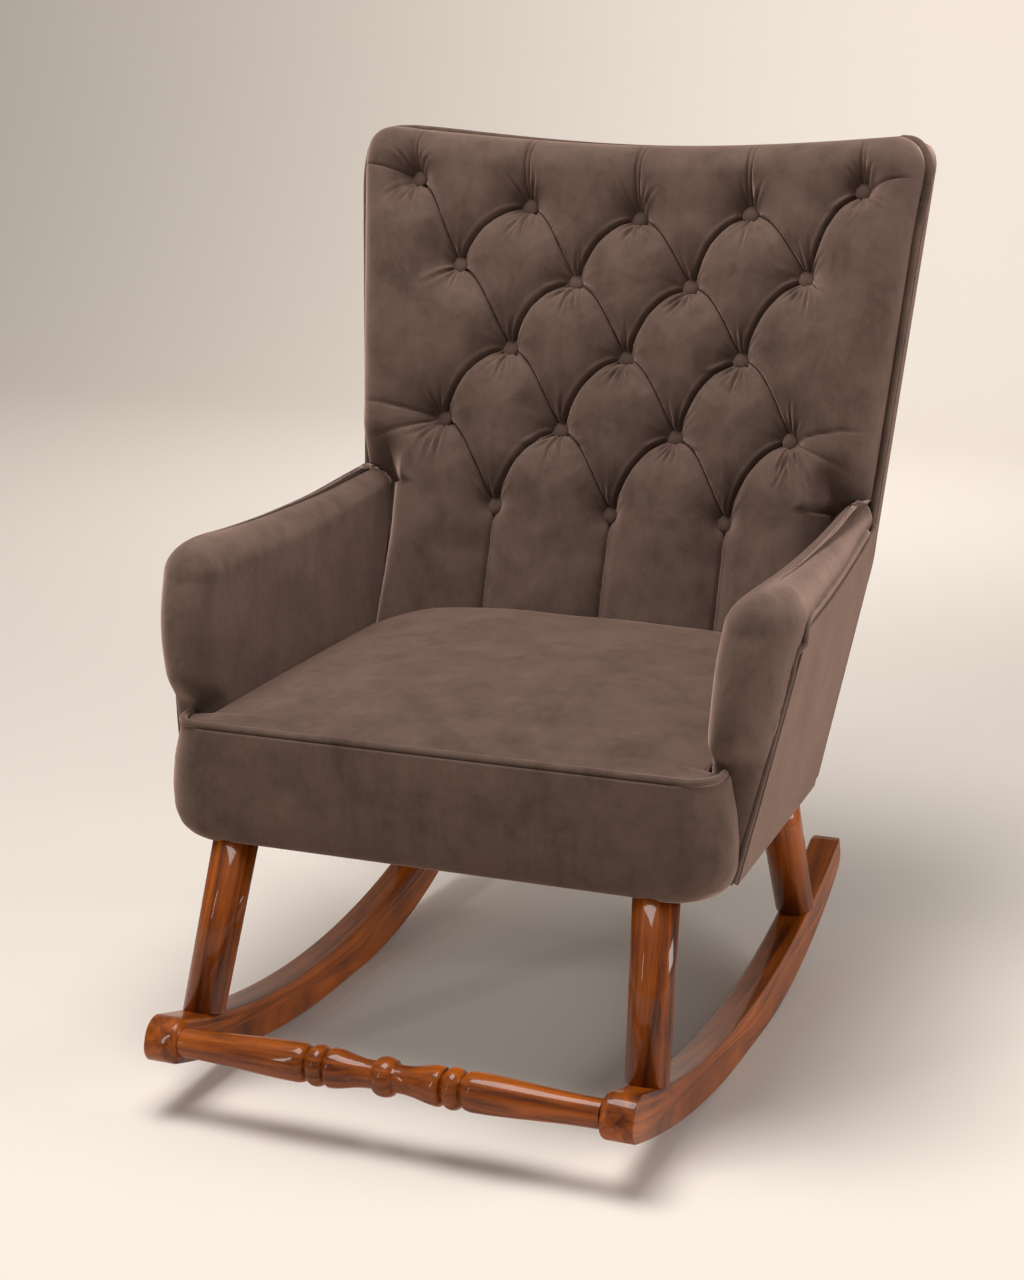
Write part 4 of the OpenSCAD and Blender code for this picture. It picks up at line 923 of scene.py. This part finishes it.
def arm_creases(places):
    """Change of each point's depth by the creases near it."""
    change = np.zeros(places.shape[:-1])
    for start, end, depth in ARM_CREASES:
        a, b = np.array(start, float), np.array(end, float)
        way = b - a
        reach = np.linalg.norm(way)
        way = way / reach
        off = places - a
        flat = off @ way
        sideways = np.linalg.norm(off - flat[..., None] * way, axis=-1)
        hold = smooth((flat + 6) / 8) * clamp01(1 - flat / reach) ** 0.8
        change += depth * hold * (0.5 * np.exp(-((sideways - 5) / 3.2) ** 2)
                                  - np.exp(-(sideways / 2.2) ** 2))
    return change


def mirror_piece(obj, name, node_name):
    """The same piece on the other side of the chair."""
    bm = bmesh.new()
    bm.from_mesh(obj.data)
    bmesh.ops.scale(bm, verts=bm.verts, vec=(-1, 1, 1))
    bmesh.ops.reverse_faces(bm, faces=bm.faces)
    outward(bm)
    cloth_piece(bm, name, node_name)


def push_out(bm, change):
    """Moves points along their normals by an array of mm, in index order."""
    bm.normal_update()
    for v, d in zip(bm.verts, change):
        v.co += v.normal * (d * MM)


def make_arms():
    levels = []
    n = 110
    for v in np.linspace(0, 1, n):
        levels.append(arm_row(v, 0, 0, 6 * smooth((1 - v) * 14)))
    for a in np.linspace(0, math.pi / 2, 34)[1:]:
        levels.append(arm_row(1.0, 1 - math.cos(a), math.sin(a), 0))
    places = np.array(levels)
    for _ in range(4):
        places[1:-2] = (places[:-3] + 2 * places[1:-2] + places[2:-1]) / 4
    change = arm_creases(places)
    x, y, z = places[..., 0], places[..., 1], places[..., 2]
    change += 0.7 * np.sin(x / 19 + y / 27 + 1.1) * np.sin(z / 31 + 0.3)
    change[0] = 0
    bm = grid_sheet(places)
    outward(bm)
    push_out(bm, change.ravel())
    bmesh.ops.remove_doubles(bm, verts=bm.verts, dist=3e-4)
    close_rim(bm)
    bmesh.ops.triangulate(bm, faces=[f for f in bm.faces if len(f.verts) > 4])
    outward(bm)
    right = cloth_piece(bm, "arm_right", "arm_pad_right")
    mirror_piece(right, "arm_left", "arm_pad_left")


def arm_seam_points():
    points = []
    for v in np.linspace(0.02, 0.9, 10):
        ex, ey = arm_edge(v)
        points.append((ex - 1, ey - 1, mix(SEAT_BOTTOM, ARM_SEAM, v)))
    for a in np.radians([0, 22.5, 45, 67.5, 90]):
        y = -123 + 22 * (1 - math.cos(a))
        points.append((ARM_HALF_W - 1 - 1.5 * (1 - math.cos(a)), y,
                       float(arm_seam_z(y)) - 22 * (1 - math.sin(a))))
    for s in np.arange(0.12, 1.0, 0.11):
        y = mix(-122, float(seam(ARM_SEAM + 16, 1)) - 8, s)
        z = float(arm_seam_z(y))
        points.append((float(panel_x(y, z)) - 1, y, z))
    return points


def make_arm_sides():
    rows = []
    for v in np.linspace(0, 1, 70):
        z0 = mix(282.5, ARM_SEAM, v)
        u = np.linspace(0, 1, 80)
        y0 = mix(arm_edge(clamp01(arm_v(z0)))[1] + WELT / 2, seam(z0, 1) - WELT / 2, u)
        z = mix(282.5, arm_seam_z(y0) - WELT / 2, v)
        y = mix(arm_edge(clamp01(arm_v(z)))[1] + WELT / 2, seam(z, 1) - WELT / 2, u)
        x = panel_x(y, z)
        x = x + 0.5 * np.sin(y / 23 + z / 61) * np.sin(math.pi * u) * math.sin(math.pi * v)
        rows.append(np.column_stack([x, y, z]))
    bm = grid_sheet(np.array(rows))
    thicken(bm, COVER_THICK)
    right = cloth_piece(bm, "arm_side_right", "arm_panel_right")
    mirror_piece(right, "arm_side_left", "arm_panel_left")
    right = welt(arm_seam_points(), "arm_welt_right", "arm_piping_right")
    mirror_piece(right, "arm_welt_left", "arm_piping_left")


# The outside of the back

def rear_y(s, z):
    edge = seam(z, 1) + SIDE_BAND
    return edge + (seam(z, 2) - edge) * np.maximum(0, 1 - np.abs(s) ** 6) ** 0.6


def make_outside_back():
    s = np.sin(np.linspace(-math.pi / 2, math.pi / 2, 121))
    s = np.sign(s) * np.abs(s) ** 0.7
    top_x = s * SEAM_TOP[0]
    top = crest_z(top_x) - 10 - corner_drop(top_x, SEAM_TOP[0])
    rows = []
    # The last rows carry the cloth forward over the top to the welt, which is
    # 17 mm behind the seam at the side and 43 mm where the top's corner ends
    inward = clamp01((SEAM_TOP[0] - np.abs(top_x)) / CREST_CORNER)
    over = np.minimum(rear_y(s, top) - 4, seam(top, 1) + 17 + 26 * inward
                      + 200 * clamp01(inward - 0.98))
    for a, turn in [*((a, 0) for a in np.linspace(0, 1, 90)), (1, 0.3), (1, 0.65), (1, 1)]:
        z = mix(284.3, top, a) + 5 * turn * inward
        w = seam(z, 0)
        y = mix(rear_y(s, z), over, turn)
        row = np.column_stack([s * w, y, z])
        ends = []
        for k, sign in ((0, -1), (-1, 1)):
            y_edge = seam(z[k], 1) + WELT / 2 + 1 + 11 * clamp01((z[k] - 900) / 75)
            ends.append(np.column_stack([
                np.full(6, sign * w[k]), mix(y_edge, y[k], np.linspace(0, 1, 7)[:-1]),
                np.full(6, z[k])]))
        rows.append(np.concatenate([ends[0], row, ends[1][::-1]]))
    bm = grid_sheet(np.array(rows))
    bmesh.ops.remove_doubles(bm, verts=bm.verts, dist=0.0001)
    thicken(bm, COVER_THICK)
    cloth_piece(bm, "outside_back", "outside_back_panel")


def crest_points(sign):
    points = []
    for a in np.radians(np.arange(0, 91, 15)):
        x = SEAM_TOP[0] - WELT / 2 - CREST_CORNER * (1 - math.cos(a))
        z = float(crest_z(x)) - CREST_CORNER * (1 - math.sin(a)) - 3
        points.append((sign * x, float(seam(z, 1)) + 10 + 30 * (1 - math.cos(a)), z))
    return points


def make_back_welt():
    def half(sign):
        side = [(sign * (float(seam(z, 0)) - WELT / 2), float(seam(z, 1)), z)
                for z in (*range(286, 517, 46), *np.linspace(540, 905, 9))]
        return side + crest_points(sign)
    run_w = SEAM_TOP[0] - CREST_CORNER - 20
    top = []
    for s in np.linspace(-1, 1, 21):
        x = s * run_w
        z = float(crest_z(x)) - 5
        top.append((x, float(rear_y(x / SEAM_TOP[0], z)) - 4, z))
    welt(half(-1) + top + half(1)[::-1], "back_welt", "back_piping")


# Woodwork

ROCKER_R, ROCKER_H, ROCKER_T, ROCKER_X = 1184.0, 50.0, 39.0, 260.0
TAIL_R, REST_FLAT = 690.0, 80.0
TOP_R = ROCKER_R - ROCKER_H
NOSE_Y = 388
NOSE_ANGLE = -math.asin(NOSE_Y / (ROCKER_R - ROCKER_H / 2))
TAIL_ANGLE = math.asin(421 / TOP_R)


def set_grain(obj, where):
    """Stores where each point lies across and along its piece's grain, in metres."""
    data = obj.data.attributes.new("grain", "FLOAT_VECTOR", "POINT")
    for item, v in zip(data.data, obj.data.vertices):
        item.vector = where(v.co)


def rocker_outline():
    """Points of the rocker's side, and the three corners to round, in y and z."""
    tail_mid = np.array([REST_FLAT, TAIL_R])
    off = tail_mid - (0, ROCKER_R)
    way = np.array([math.sin(TAIL_ANGLE), -math.cos(TAIL_ANGLE)])
    along = off @ way
    low_r = along + math.sqrt(along ** 2 - off @ off + TAIL_R ** 2)
    tail_low = (0, ROCKER_R) + low_r * way
    tail_end = math.atan2(tail_low[0] - tail_mid[0], tail_mid[1] - tail_low[1])
    a = np.linspace(NOSE_ANGLE, 0, 64)[3:]
    bottom = np.column_stack([ROCKER_R * np.sin(a), ROCKER_R - ROCKER_R * np.cos(a)])
    a = np.linspace(0, tail_end, 50)[:-3]
    tail = np.column_stack([tail_mid[0] + TAIL_R * np.sin(a), tail_mid[1] - TAIL_R * np.cos(a)])
    a = np.linspace(TAIL_ANGLE, NOSE_ANGLE, 110)[:-4]
    top = np.column_stack([TOP_R * np.sin(a), ROCKER_R - TOP_R * np.cos(a)])
    nose_way = np.array([math.sin(NOSE_ANGLE), -math.cos(NOSE_ANGLE)])
    nose_top = (0, ROCKER_R) + TOP_R * nose_way
    nose_low = (0, ROCKER_R) + ROCKER_R * nose_way
    points = np.concatenate([[nose_low], bottom, tail, [tail_low], top, [nose_top]])
    corners = {0: 20.0, len(bottom) + len(tail) + 1: 18.0, len(points) - 1: 24.0}
    return points, corners


def edges_at(bm, x):
    return [e for e in bm.edges if all(abs(v.co.x - x) < 1e-6 for v in e.verts)]


def make_rockers():
    for side, name in ((-1, "left"), (1, "right")):
        points, corners = rocker_outline()
        bm = bmesh.new()
        outer = side * (ROCKER_X + ROCKER_T / 2)
        verts = [bm.verts.new((outer * MM, (y + FLOOR_LINE_Y) * MM, z * MM))
                 for y, z in points]
        bm.faces.new(verts)
        for index, r in corners.items():
            bmesh.ops.bevel(bm, geom=[verts[index]], offset=r * MM, affect="VERTICES",
                            segments=10, profile=0.5, material=-1)
        cheek = max(bm.faces, key=lambda f: len(f.verts))
        made = bmesh.ops.extrude_face_region(bm, geom=[cheek], use_keep_orig=True)
        bmesh.ops.translate(bm, verts=new_verts(made), vec=(-side * ROCKER_T * MM, 0, 0))
        inner_x = (outer - side * ROCKER_T) * MM
        near = edges_at(bm, outer * MM)
        bmesh.ops.bevel(bm, geom=near, offset=wood_sizes().edge_round, affect="EDGES",
                        segments=3, profile=0.5, material=-1)
        far = [e for e in edges_at(bm, inner_x) if len(e.link_faces) == 2
               and max(len(f.verts) for f in e.link_faces) > 8]
        bmesh.ops.bevel(bm, geom=far, offset=wood_sizes().inner_round, affect="EDGES",
                        segments=6, profile=0.5, material=-1)
        outward(bm)
        for face in bm.faces:
            face.smooth = len(face.verts) <= 4
        obj = piece_from(bm, "rocker_" + name + "_wood", varnished_beech(),
                         ("rocker_" + name,))

        def where(co, side=side):
            y, z = co.y / MM - FLOOR_LINE_Y, co.z / MM - ROCKER_R
            return (co.x + side, math.hypot(y, z) * MM, math.atan2(y, -z) * ROCKER_R * MM)
        set_grain(obj, where)


# The legs' radii at foot and top, and the length cut off at each end, in metres
LEG_FOOT_R, LEG_TOP_R, LEG_SPARE = 0.023, 0.026, 0.04
LEGS = {}
for _y_foot, _rake, _end in ((-290.0, 66.0, "front"), (280.0, -66.0, "rear")):
    _z_foot = ROCKER_R - math.sqrt(TOP_R ** 2 - _y_foot ** 2)
    LEGS[_end] = (Vector((260, _y_foot, _z_foot)), Vector((246, _y_foot + _rake, SEAT_BOTTOM)))


def make_legs():
    for end, (foot, top) in LEGS.items():
        for side, name in ((-1, "left"), (1, "right")):
            a = place_m(side * foot.x, foot.y, foot.z)
            b = place_m(side * top.x, top.y, top.z)
            way = (b - a).normalized()
            reach = (b - a).length + 2 * LEG_SPARE
            turn = way.to_track_quat("Z", "Y").to_matrix().to_4x4()
            turn.translation = (a + b) / 2
            bm = bmesh.new()
            bmesh.ops.create_cone(bm, cap_ends=True, segments=72, radius1=LEG_FOOT_R,
                                  radius2=LEG_TOP_R, depth=reach, matrix=turn)
            theta = math.asin(foot.y / TOP_R)
            # The foot stands on the rocker's upper face, the top ends flat under the seat
            on_rocker = Vector((0, math.sin(theta), -math.cos(theta)))
            for spot, normal in ((a + Vector((0, 0, 0.00025)), on_rocker), (b, (0, 0, 1))):
                bmesh.ops.bisect_plane(bm, geom=bm.verts[:] + bm.edges[:] + bm.faces[:],
                                       plane_co=spot, plane_no=normal, clear_outer=True)
                close_rim(bm)
            outward(bm)
            for face in bm.faces:
                face.smooth = len(face.verts) == 4
            node_name = end + "_leg_" + name
            obj = piece_from(bm, node_name + "_wood", varnished_beech(), (node_name,))
            across = way.orthogonal().normalized()
            other = way.cross(across)

            def where(co, a=a, way=way, across=across, other=other, seed=side * 3 + foot.y * MM):
                d = co - a
                return (d.dot(across) + seed, d.dot(other), d.dot(way))
            set_grain(obj, where)


# The stretcher's middle line is 18 mm behind the rockers' noses
STRETCHER_Y = 18 - NOSE_Y


def stretcher_profile():
    """Distance from the middle and radius of the turned rail, in mm."""
    r, end_r = 22.5, 16.0
    groove = end_r - 1
    out = [(12 * math.sin(a), groove + (r - 1 - groove) * math.cos(a))
           for a in np.radians(np.arange(0, 76, 7.5))]
    out.append((13, groove))
    out += [(mix(15, 62, s), mix(groove, r - 1, 0.5 - 0.5 * math.cos(math.pi * s ** 1.15)))
            for s in np.linspace(0, 1, 22)]
    out += [(62 + 4 * math.sin(a), r - 5 + 4 * math.cos(a))
            for a in np.radians([15, 30, 45, 60, 75, 90])]
    out.append((67, groove + 1))
    out += [(78 + 10 * math.sin(a), groove + (r - groove) * math.cos(a))
            for a in np.radians(np.arange(-75, 76, 10))]
    out.append((89, groove + 1))
    out += [(90 + 12 * (1 - math.cos(a)), mix(groove + 2, r - 1, math.sin(a)))
            for a in np.radians(np.arange(0, 91, 10))]
    out += [(mix(102, 240.5, s), mix(r - 1, end_r, 0.5 - 0.5 * math.cos(math.pi * s ** 0.9)))
            for s in np.linspace(0.04, 1, 26)]
    return out


def make_stretcher():
    half = stretcher_profile()
    profile = [(-x, r) for x, r in half[:0:-1]] + half
    y = STRETCHER_Y + FLOOR_LINE_Y
    z = ROCKER_R - math.sqrt((ROCKER_R - ROCKER_H / 2) ** 2 - STRETCHER_Y ** 2)
    profile = [(profile[0][0], 0.01)] + profile + [(profile[-1][0], 0.01)]
    bm = bmesh.new()
    verts = [bm.verts.new((x * MM, y * MM, (z + r) * MM)) for x, r in profile]
    edges = [bm.edges.new(pair) for pair in zip(verts, verts[1:])]
    bmesh.ops.spin(bm, geom=verts + edges, cent=(0, y * MM, z * MM), axis=(1, 0, 0),
                   angle=2 * math.pi, steps=72, use_merge=True)
    bmesh.ops.remove_doubles(bm, verts=bm.verts, dist=2e-5)
    outward(bm)
    smooth_shaded(bm)
    for edge in bm.edges:
        if edge.is_manifold and edge.calc_face_angle() > math.radians(38):
            edge.smooth = False
    obj = piece_from(bm, "front_stretcher_wood", varnished_beech(),
                     ("front_stretcher",))
    set_grain(obj, lambda co: (co.y - y * MM + 5, co.z - z * MM, co.x))


def finish_hidden_parts():
    """Gives the parts inside the upholstery and under the chair their own finishes."""
    finishes = {"frame_wood": sawn_pine, "steel": zinc_plate, "webbing": black_webbing}
    for part in frame["record"]["subparts"]:
        make = finishes.get(part["material_slot"])
        if make:
            obj = frame["nodes"][part["node"]]
            obj.data.materials.clear()
            obj.data.materials.append(make())


# Studio

def backdrop_paper():
    """Seamless backdrop paper: matt, even and warm white."""
    return new_material("backdrop_paper", Base_Color=(*colours().backdrop, 1), Roughness=0.9,
                        Specular_IOR_Level=0.1)[0]


def area_light(name, place, aim, size, power, colour):
    data = bpy.data.lights.new(name, "AREA")
    data.shape = "RECTANGLE"
    data.size, data.size_y = size
    data.energy = power
    data.color = colour
    obj = link(name, data)
    obj.location = place
    obj.rotation_euler = (Vector(aim) - Vector(place)).to_track_quat("-Z", "Y").to_euler()


# The sweep's half width, front edge, where its curve begins, the curve's radius
# and the wall's height above it, in metres
SWEEP_HALF_W, SWEEP_FRONT, SWEEP_BEND_Y, SWEEP_R, SWEEP_WALL = 12, -9.0, 4.0, 1.6, 8


def make_sweep():
    """One sheet of paper: a floor, a quarter round and a wall."""
    bm = bmesh.new()
    bmesh.ops.create_grid(bm, x_segments=1, y_segments=1, size=1)
    for v in bm.verts:
        v.co = Vector((v.co.x * SWEEP_HALF_W, SWEEP_FRONT if v.co.y < 0 else SWEEP_BEND_Y,
                       -0.0005))
    far = [e for e in bm.edges if all(v.co.y > 3 for v in e.verts)]
    turns = np.radians(np.linspace(0, 90, 13))
    steps = [(0, SWEEP_R * (math.sin(b) - math.sin(a)), SWEEP_R * (math.cos(a) - math.cos(b)))
             for a, b in zip(turns, turns[1:])]
    for step in [*steps, (0, 0, SWEEP_WALL)]:
        made = bmesh.ops.extrude_edge_only(bm, edges=far)
        verts = new_verts(made)
        far = [g for g in made["geom"] if isinstance(g, bmesh.types.BMEdge)
               and all(v in verts for v in g.verts)]
        bmesh.ops.translate(bm, verts=verts, vec=step)
    smooth_shaded(bm)
    sweep = link("studio_sweep", mesh_from(bm, "studio_sweep"))
    sweep.data.materials.append(backdrop_paper())


WARM, NEUTRAL = (1, 0.975, 0.95), (1, 0.98, 0.96)
# Each light's name, place, aim, size, power in watts and colour
LIGHTS = (
    ("overhead_softbox", (-0.35, -0.6, 3.05), (0, 0, 0.3), (1.7, 1.5), 90, WARM),
    ("side_softbox", (3.0, 0.4, 1.0), (0.3, 0, 0.3), (1.2, 1.0), 48, NEUTRAL),
    ("front_strip", (-1.7, -3.3, 1.6), (0, 0, 0.4), (0.16, 1.8), 12, NEUTRAL),
    ("backdrop_light", (-0.2, 2.6, 2.6), (-2.3, 5.6, 0.8), (1.6, 1.5), 78, (1, 0.97, 0.94)))


def make_stage():
    make_sweep()
    for light in LIGHTS:
        area_light(*light)
    world = bpy.data.worlds.new("studio_air")
    world.use_nodes = True
    background = world.node_tree.nodes["Background"]
    background.inputs["Color"].default_value = (*srgb("#f4efe9"), 1)
    background.inputs["Strength"].default_value = 0.32
    bpy.context.scene.world = world

    scene = bpy.context.scene
    scene.view_settings.view_transform = "Standard"
    camera = bpy.data.cameras.new("photo_camera")
    # 2480 pixels of focal length on a frame 1280 pixels high
    camera.lens = 2480 / 1280 * camera.sensor_width
    holder = link("photo_camera", camera)
    holder.location = (1.0123, -2.6059, 1.1791)
    holder.rotation_euler = (math.radians(90 - 14.52), 0, math.radians(21.80))
    scene.camera = holder


# Operators

class ChairStep:
    """Runs an operator's steps in order."""

    def execute(self, context):
        for step in self.steps:
            step()
        return {"FINISHED"}


class MakeTuftedBack(ChairStep, bpy.types.Operator):
    """Makes the buttoned inside of the back, with its pleats and gathers"""
    bl_idname = "chair.make_tufted_back"
    bl_label = "Tufted back"
    steps = (make_tufted_back,)


class MakeButtons(ChairStep, bpy.types.Operator):
    """Makes the covered buttons of the back"""
    bl_idname = "chair.make_buttons"
    bl_label = "Covered buttons"
    steps = (make_buttons,)


class MakeSeat(ChairStep, bpy.types.Operator):
    """Makes the seat cushion, its front panel and its welt"""
    bl_idname = "chair.make_seat"
    bl_label = "Seat"
    steps = (make_seat, make_seat_border, make_seat_welt)


class MakeArms(ChairStep, bpy.types.Operator):
    """Makes both padded arms, their side panels and their welts"""
    bl_idname = "chair.make_arms"
    bl_label = "Arms"
    steps = (make_arms, make_arm_sides)


class MakeOutsideBack(ChairStep, bpy.types.Operator):
    """Makes the cover behind the back and the welt round it"""
    bl_idname = "chair.make_outside_back"
    bl_label = "Outside back"
    steps = (make_outside_back, make_back_welt)


class MakeWoodwork(ChairStep, bpy.types.Operator):
    """Makes the rockers, legs and turned front stretcher"""
    bl_idname = "chair.make_woodwork"
    bl_label = "Woodwork"
    steps = (make_rockers, make_legs, make_stretcher)


class FinishHiddenParts(ChairStep, bpy.types.Operator):
    """Gives the frame, webbing and fittings their materials"""
    bl_idname = "chair.finish_hidden_parts"
    bl_label = "Frame and fittings"
    steps = (finish_hidden_parts,)


class MakeStage(ChairStep, bpy.types.Operator):
    """Sets up the backdrop, the lights and the camera"""
    bl_idname = "chair.make_stage"
    bl_label = "Studio"
    steps = (make_stage,)


OPERATORS = (MakeTuftedBack, MakeButtons, MakeSeat, MakeArms, MakeOutsideBack, MakeWoodwork,
             FinishHiddenParts, MakeStage)


class ChairPanel(bpy.types.Panel):
    """Lists the chair's pieces, sizes and colours"""
    bl_idname = "VIEW3D_PT_rocking_chair"
    bl_label = "Rocking chair"
    bl_space_type = "VIEW_3D"
    bl_region_type = "UI"
    bl_category = "Rocker"

    def draw(self, context):
        layout = self.layout
        for group in (sizes(), wood_sizes(), colours()):
            box = layout.box()
            for key in group.__annotations__:
                box.prop(group, key)
        for operator in OPERATORS:
            layout.operator(operator.bl_idname)


CLASSES = (UpholsterySizes, WoodSizes, ChairColours, *OPERATORS, ChairPanel)


def register():
    for item in CLASSES:
        bpy.utils.register_class(item)
    bpy.types.Scene.chair_upholstery = PointerProperty(type=UpholsterySizes)
    bpy.types.Scene.chair_wood = PointerProperty(type=WoodSizes)
    bpy.types.Scene.chair_colours = PointerProperty(type=ChairColours)


def unregister():
    del bpy.types.Scene.chair_upholstery
    del bpy.types.Scene.chair_wood
    del bpy.types.Scene.chair_colours
    for item in reversed(CLASSES):
        bpy.utils.unregister_class(item)


def main():
    register()
    for operator in OPERATORS:
        group, name = operator.bl_idname.split(".")
        getattr(getattr(bpy.ops, group), name)()
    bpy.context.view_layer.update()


if __name__ == "__main__":
    main()
